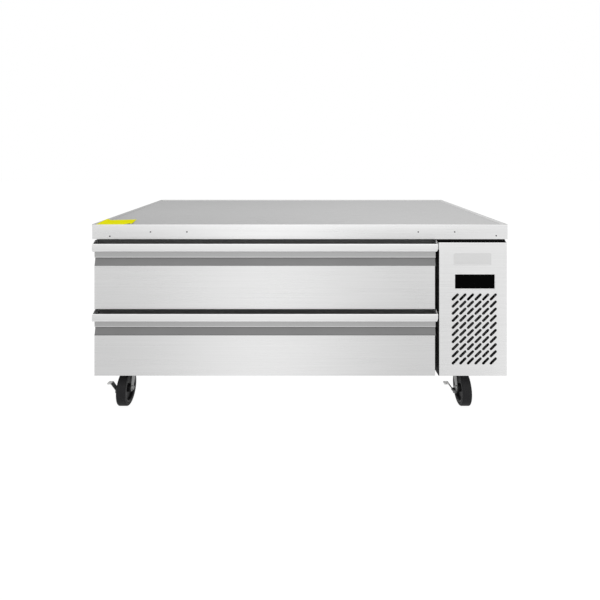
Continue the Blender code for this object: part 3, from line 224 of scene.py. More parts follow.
# Studio: what lights the object, what its faces mirror, and the camera, with spans as (low, high, start, stop)
WORLD_LIGHT = 0.62
WORLD_MIRRORED = (0.72, 1.0, -0.5, 0.5)
FLOOR_REACH = 12.0
FLOOR_PAINT = 0.86
FLOOR_GLOW = 1.08
FLOOR_GLOW_SHARE = 0.9
POOL_ORIGIN = (0.0165, 1.317)
POOL_MIDDLE = -0.0878
POOL_REACH = 0.355
POOL_HIGH = 1.0
POOL_LOW = 0.72
POOL_NEAREST = 0.5
POOL_TURNS = (1.0, 1.6, -3.5, -2.0)
POOL_FADE = (1.0, 0.0, -0.4, 0.4)
LIGHTS = (
    ("front_softbox", (-0.3, -3.4, 2.4), (-0.1, 0.0, 0.4), (5.0, 3.2), 30.0),
    ("top_softbox", (0.2, -0.2, 3.2), (0.0, 0.0, 0.6), (4.4, 3.4), 25.0),
)
CAMERA_PLACE = (0.0165, -2.133, 0.9805)
CAMERA_SENSOR = 36.0
CAMERA_LENS = 28.18
CAMERA_SHIFT = (-0.00717, -0.2512)


# Node helpers

def add_node(tree, kind, values=None, **settings):
    """Adds a shader node, sets its properties, and sets or links each named or numbered input."""
    made = tree.nodes.new("ShaderNode" + kind)
    for key, value in settings.items():
        setattr(made, key, value)
    for key, value in (values or {}).items():
        if isinstance(value, bpy.types.NodeSocket):
            tree.links.new(value, made.inputs[key])
        else:
            made.inputs[key].default_value = value
    return made


def derive(kind, values, **settings):
    """Adds a node to the tree that its first linked input comes from."""
    sources = (value for value in values.values() if isinstance(value, bpy.types.NodeSocket))
    return add_node(next(sources).id_data, kind, values, **settings)


def add_noise(vector, scale, detail=2.0):
    return derive("TexNoise", {"Vector": vector, "Scale": scale, "Detail": detail}).outputs["Fac"]


def remap(value, low, high, start=0.3, stop=0.7):
    """The value's span from start to stop, spread over low to high."""
    values = {"Value": value, "From Min": start, "From Max": stop, "To Min": low, "To Max": high}
    return derive("MapRange", values).outputs["Result"]


def mix_values(factor, first, second):
    return derive("Mix", {0: factor, 2: first, 3: second}, data_type="FLOAT").outputs[0]


def mix_colours(factor, first, second):
    return derive("Mix", {0: factor, 6: first, 7: second}, data_type="RGBA").outputs[2]


def mix_shaders(factor, first, second):
    return derive("MixShader", {0: factor, 1: first, 2: second}).outputs[0]


def calculate(operation, *operands):
    return derive("Math", dict(enumerate(operands)), operation=operation).outputs[0]


def stretch(vector, scale):
    return derive("Mapping", {"Vector": vector, "Scale": scale}).outputs["Vector"]


def add_bump(height, strength, distance):
    values = {"Height": height, "Strength": strength, "Distance": distance}
    return derive("Bump", values).outputs["Normal"]


def shade(level, tint=(1.0, 1.0, 1.0)):
    return (*(level * part for part in tint), 1.0)


def start_finish(name, **values):
    """A new material, its shader with the plain values set, and the place on the object."""
    finish = bpy.data.materials.new(name)
    finish.use_nodes = True
    shader = finish.node_tree.nodes["Principled BSDF"]
    for key, value in values.items():
        shader.inputs[key.replace("_", " ")].default_value = value
    return finish, shader, add_node(finish.node_tree, "TexCoord").outputs["Object"]


def connect(shader, colour, rough, **sources):
    """Links the colour, the roughness and each source named after its input."""
    for key, source in {"Base Color": colour, "Roughness": rough, **sources}.items():
        shader.id_data.links.new(source, shader.inputs[key])


# Finishes

def brushed_steel(name, level, roughness=0.30, axis="Z", anisotropy=0.6):
    """Sheet brushed along its length, with fine streaks, faint rolling bands and a few handling marks."""
    finish, shader, here = start_finish(name, Metallic=1.0, Anisotropic=anisotropy, Anisotropic_Rotation=0.25)
    facing = derive("SeparateXYZ", {"Vector": here.node.outputs["Normal"]}).outputs["X"]
    on_side = calculate("GREATER_THAN", calculate("ABSOLUTE", facing), 0.7)
    long, fine = 3.0, 800.0
    along_x = add_noise(stretch(here, (long, fine, fine)), 1.0)
    along_y = add_noise(stretch(here, (fine, long, fine)), 1.0)
    grain = mix_values(on_side, along_x, along_y)
    marks = add_noise(here, 5.0, 4.0)
    worn = add_noise(stretch(here, (14.0, 60.0, 60.0)), 1.0, 3.0)
    colour = mix_colours(remap(grain, 0.0, 1.0), shade(level * 0.97), shade(level * 1.03))
    wear = calculate("ADD", remap(marks, -0.02, 0.02), remap(worn, -0.006, 0.006))
    rough = calculate("ADD", remap(grain, roughness - 0.03, roughness + 0.03), wear)
    radial = add_node(finish.node_tree, "Tangent", direction_type="RADIAL", axis=axis)
    normal = add_bump(grain, 0.03, 0.0002)
    connect(shader, colour, rough, Tangent=radial.outputs["Tangent"], Normal=normal)
    return finish


def spangled_zinc(name):
    """Hot-dip galvanised sheet: crystal patches of slightly different greys."""
    finish, shader, here = start_finish(name, Metallic=1.0)
    warped = derive("TexNoise", {"Vector": here, "Scale": 30.0}).outputs["Color"]
    bent = mix_colours(0.03, here, warped)
    cells = derive("TexVoronoi", {"Vector": bent, "Scale": 85.0}).outputs["Color"]
    grey = derive("SeparateColor", {"Color": cells}).outputs[0]
    level, tint = 0.6, (0.96, 0.98, 1.0)
    colour = mix_colours(grey, shade(level * 0.84, tint), shade(level * 1.08, tint))
    connect(shader, colour, remap(grey, 0.32, 0.5, 0.0, 1.0), Normal=add_bump(grey, 0.06, 0.0003))
    return finish


def plated_zinc(name, level=0.62):
    """Bright zinc plating on pressed steel, with faint clouding."""
    finish, shader, here = start_finish(name, Metallic=1.0)
    clouds, grit = add_noise(here, 45.0, 4.0), add_noise(here, 900.0)
    warm, cool = (1.0, 0.99, 0.95), (0.95, 0.98, 1.0)
    colour = mix_colours(clouds, shade(level * 0.82, warm), shade(level * 1.1, cool))
    rough = calculate("ADD", remap(clouds, 0.24, 0.38), remap(grit, -0.03, 0.03))
    connect(shader, colour, rough, Normal=add_bump(grit, 0.1, 0.0001))
    return finish


def stucco_aluminium(name):
    """Embossed inner liner sheet."""
    finish, shader, here = start_finish(name, Metallic=1.0)
    cells = derive("TexVoronoi", {"Vector": here, "Scale": 150.0}, feature="SMOOTH_F1")
    clouds = add_noise(here, 8.0, 3.0)
    colour = mix_colours(clouds, shade(0.70, (0.97, 0.99, 1.0)), shade(0.80))
    normal = add_bump(cells.outputs["Distance"], 0.5, 0.0012)
    connect(shader, colour, remap(clouds, 0.30, 0.42), Normal=normal)
    return finish


def moulded(name, low, high, roughness, scale=350.0, bump=0.15, **values):
    """Plastic or rubber: two close tones, a fine grain, and roughness that wanders a little."""
    finish, shader, here = start_finish(name, **values)
    clouds, grain = add_noise(here, 18.0, 3.0), add_noise(here, scale)
    colour = mix_colours(clouds, (*low, 1.0), (*high, 1.0))
    rough = remap(clouds, roughness - 0.05, roughness + 0.05)
    rough = calculate("ADD", rough, remap(grain, -0.03, 0.03))
    connect(shader, colour, rough, Normal=add_bump(grain, bump, 0.0002))
    return finish


def ribbed_rubber(name):
    """Grey gasket rubber with fine lengthwise ribs in its sides."""
    finish, shader, here = start_finish(name)
    ribs = derive("TexWave", {"Vector": here, "Scale": 110.0}, bands_direction="Y").outputs["Fac"]
    clouds = add_noise(here, 25.0, 3.0)
    colour = mix_colours(clouds, shade(0.10), shade(0.14))
    connect(shader, colour, remap(clouds, 0.5, 0.65), Normal=add_bump(ribs, 0.4, 0.0008))
    return finish


def copper_tube(name):
    """Drawn copper that has gone dull in patches."""
    finish, shader, here = start_finish(name, Metallic=1.0)
    clouds = add_noise(here, 30.0, 4.0)
    dull, clean = (0.30, 0.13, 0.07, 1.0), (0.78, 0.40, 0.25, 1.0)
    connect(shader, mix_colours(remap(clouds, 0.0, 1.0), dull, clean), remap(clouds, 0.42, 0.26))
    return finish


def finned(name):
    """Stacked thin fins: close dark and bright lines across the coil, kept dark overall as painted shade
    behind the panel's slots.
    """
    finish, shader, here = start_finish(name, Metallic=1.0)
    lines = derive("TexWave", {"Vector": here, "Scale": 160.0}, bands_direction="X").outputs["Fac"]
    dust = add_noise(here, 40.0, 4.0)
    bright = mix_colours(dust, shade(0.25), shade(0.35))
    colour = mix_colours(remap(lines, 0.0, 1.0, 0.2, 0.6), shade(0.12), bright)
    connect(shader, colour, remap(dust, 0.35, 0.55), Normal=add_bump(lines, 0.6, 0.001))
    return finish


def rigid_foam(name):
    """Cream insulating foam with small open cells."""
    finish, shader, here = start_finish(name)
    cells = derive("TexVoronoi", {"Vector": here, "Scale": 700.0}).outputs["Distance"]
    colour = mix_colours(cells, (0.72, 0.60, 0.38, 1.0), (0.82, 0.73, 0.52, 1.0))
    connect(shader, colour, remap(cells, 0.75, 0.9), Normal=add_bump(cells, 0.4, 0.0006))
    return finish


def vinyl(name, low, high):
    """Plain film with soft creases."""
    finish, shader, here = start_finish(name, Specular_IOR_Level=0.0)
    creases = add_noise(stretch(here, (30.0, 70.0, 70.0)), 1.0, 3.0)
    colour = mix_colours(remap(creases, 0.0, 1.0), (*low, 1.0), (*high, 1.0))
    connect(shader, colour, remap(creases, 0.3, 0.45), Normal=add_bump(creases, 0.3, 0.001))
    return finish


finishes = {
    "steel": brushed_steel("brushed_face_steel", 0.832),
    # Painted light: the machine panel is a lighter copy of the face steel
    "panel": brushed_steel("panel_steel_painted_light", 0.93),
    # Painted light and shade: the worktop's skirt is a lighter copy and its deck a darker copy of the same
    # steel
    "skirt": brushed_steel("skirt_steel_painted_light", 0.92),
    "top": brushed_steel("top_steel_painted_shade", 0.485, axis="Y"),
    "lip": brushed_steel("brushed_lip_steel", 0.85, 0.55, anisotropy=0.2),
    # Painted light: the lip's downward-facing underside is a lighter copy of the face steel
    "fold": brushed_steel("fold_steel_painted_light", 0.97, 0.7, anisotropy=0.0),
    # Painted highlight: a lighter line of steel along the band's lower bend
    "bead": brushed_steel("bead_steel_painted_highlight", 0.75, 0.6, anisotropy=0.0),
    # Painted shade: the finger channel behind the lip is steel darkened to near black
    "channel": brushed_steel("channel_steel_painted_shade", 0.10, 0.50, anisotropy=0.2),
    # Steel of the blank plate; on the worktop's right rim wall it is painted light
    "plate": brushed_steel("plate_steel_and_painted_light_rim", 0.80, 0.34),
    # Painted shade: the band under the lip is a darker copy of the face steel
    "band": brushed_steel("band_steel_painted_shade", 0.52, 0.6, anisotropy=0.0),
    # Painted shade: the grip recess is a much darker copy of the face steel, shaded by the lip above
    "grip": brushed_steel("grip_steel_painted_shade", 0.285, 0.65, anisotropy=0.0),
    "galvanised": spangled_zinc("galvanised_sheet"),
    "zinc": plated_zinc("zinc_plate"),
    # Painted shade: the caster forks are zinc darkened for the shade under the cabinet
    "fork": plated_zinc("zinc_fork_painted_shade", 0.26),
    "arm": plated_zinc("dark_zinc_arm", 0.10),
    "liner": stucco_aluminium("stucco_liner"),
    "foam": rigid_foam("rigid_foam"),
    "gasket": ribbed_rubber("gasket_rubber"),
    "enamel": moulded(
        "black_enamel", (0.012, 0.012, 0.013), (0.02, 0.02, 0.022), 0.35, 900.0, 0.1, Coat_Weight=0.3
    ),
    "window": moulded("window_gloss", (0.001,) * 3, (0.0015,) * 3, 0.25, 60.0, 0.0, Specular_IOR_Level=0.02),
    "plastic": moulded("dark_plastic", (0.025, 0.025, 0.027), (0.04, 0.04, 0.042), 0.5),
    # Black plastic of the rear seal, also used for the slot lips and bay strips, which are painted shade
    "black": moulded("black_plastic", (0.008,) * 3, (0.014,) * 3, 0.6, Specular_IOR_Level=0.15),
    "pad": moulded("pale_pad", (0.93, 0.93, 0.92), (0.96, 0.96, 0.95), 0.55),
    # Painted highlight: a lighter grey for the raised ring on the wheel's sides
    "ring": moulded("wheel_ring_painted_highlight", (0.035, 0.035, 0.036), (0.05, 0.05, 0.052), 0.45),
    "pale_plastic": moulded("pale_plastic", (0.86,) * 3, (0.92,) * 3, 0.45),
    "tyre": moulded(
        "tyre_rubber", (0.008, 0.008, 0.009), (0.016, 0.016, 0.017), 0.6, 500.0, 0.3, Specular_IOR_Level=0.25
    ),
    "core": moulded("wheel_core", (0.006, 0.006, 0.007), (0.012, 0.012, 0.013), 0.45, Specular_IOR_Level=0.3),
    "copper": copper_tube("copper_tube"),
    "fins": finned("coil_fins_painted_shade"),
    "fan": moulded("fan_plastic", (0.03, 0.03, 0.032), (0.05, 0.05, 0.052), 0.4),
    "motor": moulded("motor_paint", (0.05, 0.052, 0.055), (0.08, 0.082, 0.085), 0.4, Metallic=0.6),
    "yellow": vinyl("yellow_film", (0.78, 0.745, 0.008), (0.84, 0.81, 0.012)),
    # Painted highlight: a paler yellow where the film lies over the rim's rounded front edge
    "pale_yellow": vinyl("film_edge_painted_highlight", (0.82, 0.82, 0.12), (0.86, 0.86, 0.16)),
    "dark_screw": moulded("dark_screw", (0.03,) * 3, (0.06,) * 3, 0.35, Metallic=1.0),
}


# Mesh helpers

def grown(pair, amount):
    """The span with both ends moved out by the amount."""
    return (pair[0] - amount, pair[1] + amount)


def arc(middle, radius, start, stop, steps):
    """Points on an arc about the middle, both ends included."""
    points = []
    for step in range(steps + 1):
        angle = start + (stop - start) * step / steps
        points.append((middle[0] + radius * math.cos(angle), middle[1] + radius * math.sin(angle)))
    return points


def add_object(name, data):
    made = bpy.data.objects.new(name, data)
    bpy.context.scene.collection.objects.link(made)
    return made


def add_mesh(name, bm):
    """An object of the built mesh, which is freed."""
    mesh = bpy.data.meshes.new(name)
    bm.to_mesh(mesh)
    bm.free()
    return add_object(name, mesh)


def finish_piece(name, bm, keys, body="cabinet", replaced=(), smooth=SHARP):
    """Turns the mesh into a piece in the finishes of the keys, which rides on the body."""
    bmesh.ops.recalc_face_normals(bm, faces=bm.faces)
    piece = add_mesh(name, bm)
    mesh = piece.data
    for key in keys:
        mesh.materials.append(finishes[key])
    mesh.shade_smooth()
    mesh.set_sharp_from_angle(angle=smooth)
    if replaced:
        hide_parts(*replaced)
    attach(piece, body)


def form(node, key, edge=0.0004, outer=None, steps=2):
    """A copy of the CAD node with clean faces and rounded outer edges, shown in the node's place.

    Edges on two sides of the node's box get the outer radius, and the other outward edges the edge radius."""
    bm = bmesh.new()
    bm.from_mesh(nodes[node].data)
    bmesh.ops.remove_doubles(bm, verts=bm.verts, dist=MERGE)
    bmesh.ops.dissolve_limit(bm, angle_limit=FLAT, verts=bm.verts, edges=bm.edges)
    bmesh.ops.triangulate(bm, faces=[face for face in bm.faces if len(face.verts) > 4])
    for face in bm.faces:
        face.material_index = 0
        face.smooth = True
    largest = max(edge, outer or 0.0)
    low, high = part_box(node)
    weights = bm.edges.layers.float.new("bevel_weight_edge")
    for line in bm.edges:
        if len(line.link_faces) != 2 or line.calc_face_angle(0.0) < SHARP:
            continue
        if not line.is_convex:
            line.smooth = False
            continue
        sides = 0
        for axis in range(3):
            for limit in (low[axis], high[axis]):
                sides += all(abs(vert.co[axis] - limit) < MERGE for vert in line.verts)
        line[weights] = (outer if outer and sides >= 2 else edge) / largest
    piece = add_mesh(node + "_formed", bm)
    piece.data.materials.append(finishes[key])
    rounding = piece.modifiers.new("rounding", "BEVEL")
    rounding.limit_method = "WEIGHT"
    rounding.width = largest
    rounding.segments = steps
    rounding.use_clamp_overlap = False
    piece.modifiers.new("even_normals", "WEIGHTED_NORMAL").keep_sharp = True
    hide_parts(node)
    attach(piece, BODY_OF[node])
    return piece


def rounded_rectangle(x_pair, y_pair, radius, steps=SMALL_STEPS):
    """Corner points, anticlockwise from the front left, with each corner an arc of the radius."""
    points = []
    for quarter, (x, y) in enumerate(((0, 0), (1, 0), (1, 1), (0, 1))):
        middle = (x_pair[x] + radius * (1 - 2 * x), y_pair[y] + radius * (1 - 2 * y))
        start = math.pi + quarter * math.pi / 2
        points += arc(middle, radius, start, start + math.pi / 2, steps)
    return points


def bridge(bm, ring, following, material=0):
    """Quads between two rings of the same length."""
    count = len(ring)
    for step in range(count):
        after = (step + 1) % count
        face = bm.faces.new((ring[step], ring[after], following[after], following[step]))
        face.material_index = material


def add_layers(bm, rings, material=0):
    """A solid through the rings, closed at both ends."""
    for ring, following in zip(rings, rings[1:]):
        bridge(bm, ring, following, material)
    for ring in (rings[0], rings[-1]):
        bm.faces.new(ring).material_index = material


def add_turned(bm, profile, axis, origin, steps, material=0):
    """Turns a profile of (distance along the axis, radius) about the axis through the origin."""
    others = [other for other in range(3) if other != axis]
    rings = []
    for along, radius in profile:
        ring = []
        for step in range(steps if radius else 1):
            angle = math.tau * step / steps
            place = Vector(origin)
            place[axis] += along
            place[others[0]] += radius * math.cos(angle)
            place[others[1]] += radius * math.sin(angle)
            ring.append(bm.verts.new(place))
        rings.append(ring)
    for ring, following in zip(rings, rings[1:]):
        if 1 in (len(ring), len(following)):
            point, loop = (ring[0], following) if len(ring) == 1 else (following[0], ring)
            for step in range(len(loop)):
                face = bm.faces.new((point, loop[step], loop[(step + 1) % len(loop)]))
                face.material_index = material
        else:
            bridge(bm, ring, following, material)
    if profile[0][1] and profile[0] == profile[-1]:
        bmesh.ops.remove_doubles(bm, verts=rings[0] + rings[-1], dist=MERGE)


def bend_path(points, radii):
    """The path with each inner corner replaced by an arc of its radius, unless the path runs straight on."""
    path = [Vector(points[0])]
    for before, corner, after, radius in zip(points, points[1:], points[2:], radii):
        corner, before, after = Vector(corner), Vector(before), Vector(after)
        into, out = (corner - before).normalized(), (after - corner).normalized()
        turn = into.angle_signed(out)
        if abs(turn) < FLAT:
            path.append(corner)
            continue
        reach = radius * abs(math.tan(turn / 2))
        start = corner - into * reach
        side = Vector((into.y, -into.x)) * (1 if turn > 0 else -1)
        middle = start + side * radius
        for step in range(BEND_STEPS + 1):
            angle = -turn * step / BEND_STEPS
            path.append(middle + Matrix.Rotation(angle, 2) @ (start - middle))
    path.append(Vector(points[-1]))
    return path


def sheet_section(path, thickness):
    """Both faces of a sheet whose middle follows the path: (one side, other side)."""
    sides = ([], [])
    for step, point in enumerate(path):
        along = Vector((0.0, 0.0))
        if step:
            along += (point - path[step - 1]).normalized()
        if step < len(path) - 1:
            along += (path[step + 1] - point).normalized()
        along.normalize()
        across = Vector((-along.y, along.x)) * thickness / 2
        if 0 < step < len(path) - 1:
            across /= max(0.5, along.dot((point - path[step - 1]).normalized()))
        sides[0].append(point + across)
        sides[1].append(point - across)
    return sides


def add_bent_sheet(bm, points, thickness, x_pair, radii, pick=lambda height: 0):
    """A sheet bent along points in the YZ plane, run between two places along X, with materials by height."""
    path = bend_path(points, radii)
    left, right = sheet_section(path, thickness)
    outline = left + right[::-1]
    ends = [[bm.verts.new((x, *point)) for point in outline] for x in x_pair]
    count = len(outline)
    loops = []
    for step in range(count):
        after = (step + 1) % count
        loops.append((ends[0][step], ends[0][after], ends[1][after], ends[1][step]))
    for end in ends:
        for step in range(len(path) - 1):
            loops.append((end[step], end[step + 1], end[-2 - step], end[-1 - step]))
    for loop in loops:
        face = bm.faces.new(loop)
        face.material_index = pick(face.calc_center_median().z)


def add_plate(bm, outline, axis, pair, material=0):
    """A flat plate of an outline in the plane across the axis."""
    rings = []
    for along in pair:
        rings.append([bm.verts.new((*point[:axis], along, *point[axis:])) for point in outline])
    add_layers(bm, rings, material)


def add_screw(bm, point, axis, side, radius=SCREW_RADIUS, height=SCREW_HEIGHT):
    """A pan-head screw with a round socket, on a face at the point, looking along side of the axis."""
    profile = [(0.0, 0.0), (0.0, radius)]
    for step in range(1, DOME_STEPS):
        angle = math.pi / 2 * step / DOME_STEPS
        profile.append((height * math.sin(angle), radius * (SCREW_DOME[0] + SCREW_DOME[1] * math.cos(angle))))
    pit, floor = radius * SOCKET_RADIUS, height * SOCKET_FLOOR
    profile += [(height, radius * SCREW_FLAT), (height, pit), (floor, pit), (floor, 0.0)]
    add_turned(bm, [(side * along, size) for along, size in profile], axis, point, SCREW_STEPS)


# Worktop

def build_worktop():
    """Folded top: skirt, rolled rim, and a deck a little below it."""
    low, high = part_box("worktop")
    x_pair, y_pair = (low.x, high.x), (low.y, high.y)
    deck = high.z - RIM_RISE
    shoulder = high.z - RIM_ROUNDING
    quarter = math.pi / 2
    hem = SHEET / 2
    foot = low.z - SKIRT_DROP
    profile = [(SHEET, deck - SHEET), (SHEET, foot + hem)]
    profile += arc((hem, foot + hem), hem, 0.0, -math.pi, BEND_STEPS)
    profile += arc((RIM_ROUNDING, shoulder), RIM_ROUNDING, math.pi, quarter, RIM_STEPS)
    outer_rings = len(profile)
    profile += arc((RIM_WIDTH - RIM_ROUNDING, shoulder), RIM_ROUNDING, quarter, 0.0, RIM_STEPS)
    fillet = RIM_RISE - RIM_ROUNDING
    profile += arc((RIM_WIDTH + fillet, deck + fillet), fillet, math.pi, 1.5 * math.pi, FILLET_STEPS)[1:]
    bm = bmesh.new()
    rings = []
    for inset, height in profile:
        radius = max(CORNER_RADIUS - inset, CORNER_RADIUS / 10)
        points = rounded_rectangle(grown(x_pair, -inset), grown(y_pair, -inset), radius, CORNER_STEPS)
        rings.append([bm.verts.new((*point, height)) for point in points])
    # The skirt and the rim's outer rounding take the lighter skirt copy, the rest the darker deck copy:
    # painted light and shade on one sheet
    for number, (ring, following) in enumerate(zip(rings, rings[1:]), 1):
        bridge(bm, ring, following, 1 if number < outer_rings else 0)
    for face in bm.faces:
        middle = face.calc_center_median()
        # Painted shade: the rim's top, a little behind its front edge, takes the darker deck copy
        if middle.z > shoulder and middle.y > low.y + RIM_ROUNDING * RIM_SPLIT:
            face.material_index = 0
        # Painted light: the right rim's inner wall takes the lighter plate steel so it shows no dark line
        painted_light_right_rim = abs(middle.x - high.x + RIM_WIDTH) < RIM_ROUNDING
        if painted_light_right_rim and low.y + RIM_WIDTH < middle.y < high.y - RIM_WIDTH:
            face.material_index = 2
    bm.faces.new(rings[0])
    bm.faces.new(rings[-1])
    finish_piece("worktop_formed", bm, ("top", "skirt", "plate"), replaced=("worktop",))


def build_underside():
    """Steel sheet that closes the worktop's foam from below, in front of the cabinet."""
    low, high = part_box("worktop_core")
    x_pair = grown((low.x, high.x), -UNDERSIDE_INSET)
    y_pair = (low.y + UNDERSIDE_INSET / 2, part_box("front_frame")[0].y - UNDERSIDE_INSET)
    bm = bmesh.new()
    outline = rounded_rectangle(x_pair, y_pair, UNDERSIDE_RADIUS)
    add_plate(bm, outline, 2, [low.z - drop for drop in UNDERSIDE_LAYER])
    finish_piece("worktop_underside", bm, ("galvanised",))


def build_skirt_screws():
    bm = bmesh.new()
    for x, z in SKIRT_SCREWS.items():
        add_screw(bm, (x, FRONT_Y, z), 1, -1, **SKIRT_SCREW)
    finish_piece("skirt_screws", bm, ("dark_screw",))


def rim_height(inset, deck, top):
    """Height of the worktop's surface at a distance in from its outline, down a soft step to the deck."""
    if inset < RIM_ROUNDING:
        return top - RIM_ROUNDING + math.sqrt(RIM_ROUNDING**2 - (RIM_ROUNDING - inset) ** 2)
    share = min(1.0, max(0.0, (inset - RIM_WIDTH) / FILM_SLOPE))
    return top - (top - deck) * share * share * (3.0 - 2.0 * share)


def build_film_label():
    """Plain yellow film stuck askew on the front left corner, over the rim, with one corner lifting."""
    low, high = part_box("worktop")
    deck = high.z - RIM_RISE
    corners = [Vector(corner) for corner in FILM_CORNERS]
    bm = bmesh.new()
    sheets = []
    for layer in (0.0, FILM):
        rows = []
        for number in range(FILM_ROWS + 1):
            back = (number / FILM_ROWS) ** FILM_GATHER
            left, right = corners[0].lerp(corners[3], back), corners[1].lerp(corners[2], back)
            row = []
            for column in range(FILM_COLUMNS + 1):
                share = column / FILM_COLUMNS
                place = left.lerp(right, share)
                cut = min(1.0, (1.0 - share) / (1.0 - FILM_CUT_SHARE))
                edge = corners[0].lerp(corners[1], share).y - low.y - FILM_EDGE
                place.y -= edge * cut * (1.0 - back)
                inset = min(place.x - low.x, place.y - low.y)
                wave = math.sin(share * FILM_WAVES[0] + back * FILM_WAVES[1])
                crease = FILM_CREASE * max(0.0, wave) * min(1.0, back * FILM_FADE)
                lifted = max(0.0, share - FILM_LIFT_SHARE) / (1.0 - FILM_LIFT_SHARE)
                curl = FILM_LIFT * lifted * (1.0 - back) ** 2
                height = rim_height(inset, deck, high.z) + FILM / 2 + crease + curl + layer
                row.append(bm.verts.new((place.x, place.y, height)))
            rows.append(row)
        sheets.append(rows)
    for rows in sheets:
        for row, behind in zip(rows, rows[1:]):
            for column in range(FILM_COLUMNS):
                face = bm.faces.new((row[column], row[column + 1], behind[column + 1], behind[column]))
                # Painted highlight: faces over the rim's front rounding take the paler film
                face.material_index = 1 if face.calc_center_median().y < low.y + RIM_ROUNDING else 0
    rims = []
    for rows in sheets:
        right, left = [row[-1] for row in rows[1:]], [row[0] for row in rows[-2:0:-1]]
        rims.append(rows[0] + right + rows[-1][-2::-1] + left)
    bridge(bm, *rims)
    finish_piece("film_label", bm, ("yellow", "pale_yellow"), smooth=SOFT)


# Drawer fronts

def taper_end(bm, limit, base):
    """Draws the handle's right end in below the lip, with a short taper at the lip's lower corner."""
    for height in (base + TAPER_TOP, base + TAPER_FOOT):
        geometry = bm.verts[:] + bm.edges[:] + bm.faces[:]
        bmesh.ops.bisect_plane(bm, geom=geometry, plane_co=(0.0, 0.0, height), plane_no=(0.0, 0.0, 1.0))
    for vert in bm.verts:
        if vert.co.x > limit:
            share = (base + TAPER_TOP - vert.co.z) / (TAPER_TOP - TAPER_FOOT)
            vert.co.x -= TAPER * min(1.0, max(0.0, share))


def build_handle(drawer):
    """Hemmed lip over a finger channel, a flat band, and a shallow grip recess, with welded end plates."""
    node = drawer + "_handle"
    low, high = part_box(node)
    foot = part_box(drawer + "_front_skin")[1].z
    lip = foot + HANDLE_RISE - LIP_DROP[drawer]
    x_pair = (low.x, high.x + HANDLE_OVERHANG)
    half = HANDLE_SHEET / 2
    front = low.y
    face = front + LIP_REACH
    hem_radius = (LIP_THICKNESS - HANDLE_SHEET) / 2
    underside = lip - LIP_HEIGHT - UNDERSIDE_DROP
    band = underside - BAND_HEIGHT
    points = [
        (front + LIP_THICKNESS - half, lip - HEM_DROP),
        (front + LIP_THICKNESS - half, lip - half),
        (front + half, lip - half),
        (front + half, lip - LIP_HEIGHT),
        (face + half, underside),
        (face + half, band + BEAD_HEIGHT),
        (face + half, band + half),
        (face + GRIP_DEPTH + half, band + half),
        (face + half, foot + GRIP_GAP),
    ]
    radii = (hem_radius, hem_radius, LIP_BEND, BEND_RADIUS, BEND_RADIUS, hem_radius, BEND_RADIUS)
    seam = [(face - SEAM_LAP / 2, foot + SEAM_RISE), (face - SEAM_LAP / 2, foot - SEAM_DROP[drawer])]

    # The band, grip recess and channel take darker copies of the steel, painted shade; the lip's underside and
    # the bead take lighter copies, painted light
    def pick(height):
        if height > lip - LIP_HEIGHT + LIP_BEND / 2:
            return 0
        if height > underside:
            return 3
        if height > band + BEAD_HEIGHT:
            return 1
        return 5 if height > band + half else 2

    bm = bmesh.new()
    add_bent_sheet(bm, points, HANDLE_SHEET, x_pair, radii, pick)
    add_bent_sheet(bm, seam, SEAM_LAP, x_pair, (), lambda height: 2)
    wall = front + CHANNEL_BACK
    floor = foot + CHANNEL_RISE - half
    channel = [
        (face + HANDLE_SHEET + CHANNEL_GAP, floor),
        (wall + half, floor),
        (wall + half, high.z - half),
        (high.y, high.z - half),
    ]
    inside = grown(x_pair, -HANDLE_SHEET)
    # The channel sheet takes the darkened channel steel, painted shade
    add_bent_sheet(bm, channel, HANDLE_SHEET, inside, (BEND_RADIUS, BEND_RADIUS), lambda height: 4)
    bend = bend_path([(front, lip), (front, lip - LIP_HEIGHT), (face, underside)], (LIP_BEND,))
    outline = [
        *((point.x + END_INSET, point.y + END_GAP) for point in bend[1:-1]),
        (face + END_INSET, underside - SEAM_LAP),
        (face + END_INSET, band),
        (face + GRIP_DEPTH + GRIP_GAP, band),
        (face + END_FOOT, foot + END_INSET),
        (high.y, foot + END_INSET),
        (high.y, high.z - END_INSET),
        (face, high.z - END_INSET),
        (front + END_SHOULDER[0], lip - END_SHOULDER[1]),
        (front + END_INSET, lip - END_CORNER),
    ]
    add_plate(bm, outline, 0, (x_pair[0] + END_GAP, x_pair[0] + HANDLE_SHEET))
    add_plate(bm, outline, 0, (x_pair[1] - HANDLE_SHEET, x_pair[1] - END_GAP))
    taper_end(bm, high.x - HANDLE_SHEET, lip - LIP_HEIGHT)
    keys = ("lip", "band", "grip", "fold", "channel", "bead")
    finish_piece(node + "_formed", bm, keys, drawer, (node,))


def widen(piece, node, low_by, high_by):
    """Moves a formed copy's own outer edges out from the node's box."""
    low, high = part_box(node)
    for vert in piece.data.vertices:
        for axis in range(3):
            if vert.co[axis] < low[axis] + MERGE:
                vert.co[axis] -= low_by[axis]
            elif vert.co[axis] > high[axis] - MERGE:
                vert.co[axis] += high_by[axis]


def build_fronts():
    for drawer in DRAWERS:
        skin = form(drawer + "_front_skin", "steel", edge=0.0003, outer=0.0014, steps=3)
        widen(skin, drawer + "_front_skin", (SKIN_FOLD, 0.0, SKIN_HEM[drawer]), (SKIN_FOLD, 0.0, 0.0))
        form(drawer + "_front_foam", "foam")
        form(drawer + "_inner_panel", "liner")
        form(drawer + "_gasket", "gasket", edge=0.0022, steps=3)
        build_handle(drawer)


# Machine bay panel

def panel_rings(bm, outline, profile, middle):
    """Rings of vertices on the panel, one for each (spread, distance out) of the profile."""
    rings = []
    for spread, out in profile:
        places = [(middle[0] + x, FRONT_Y - out, middle[1] + z) for x, z in outline(spread)]
        rings.append([bm.verts.new(place) for place in places])
    return rings


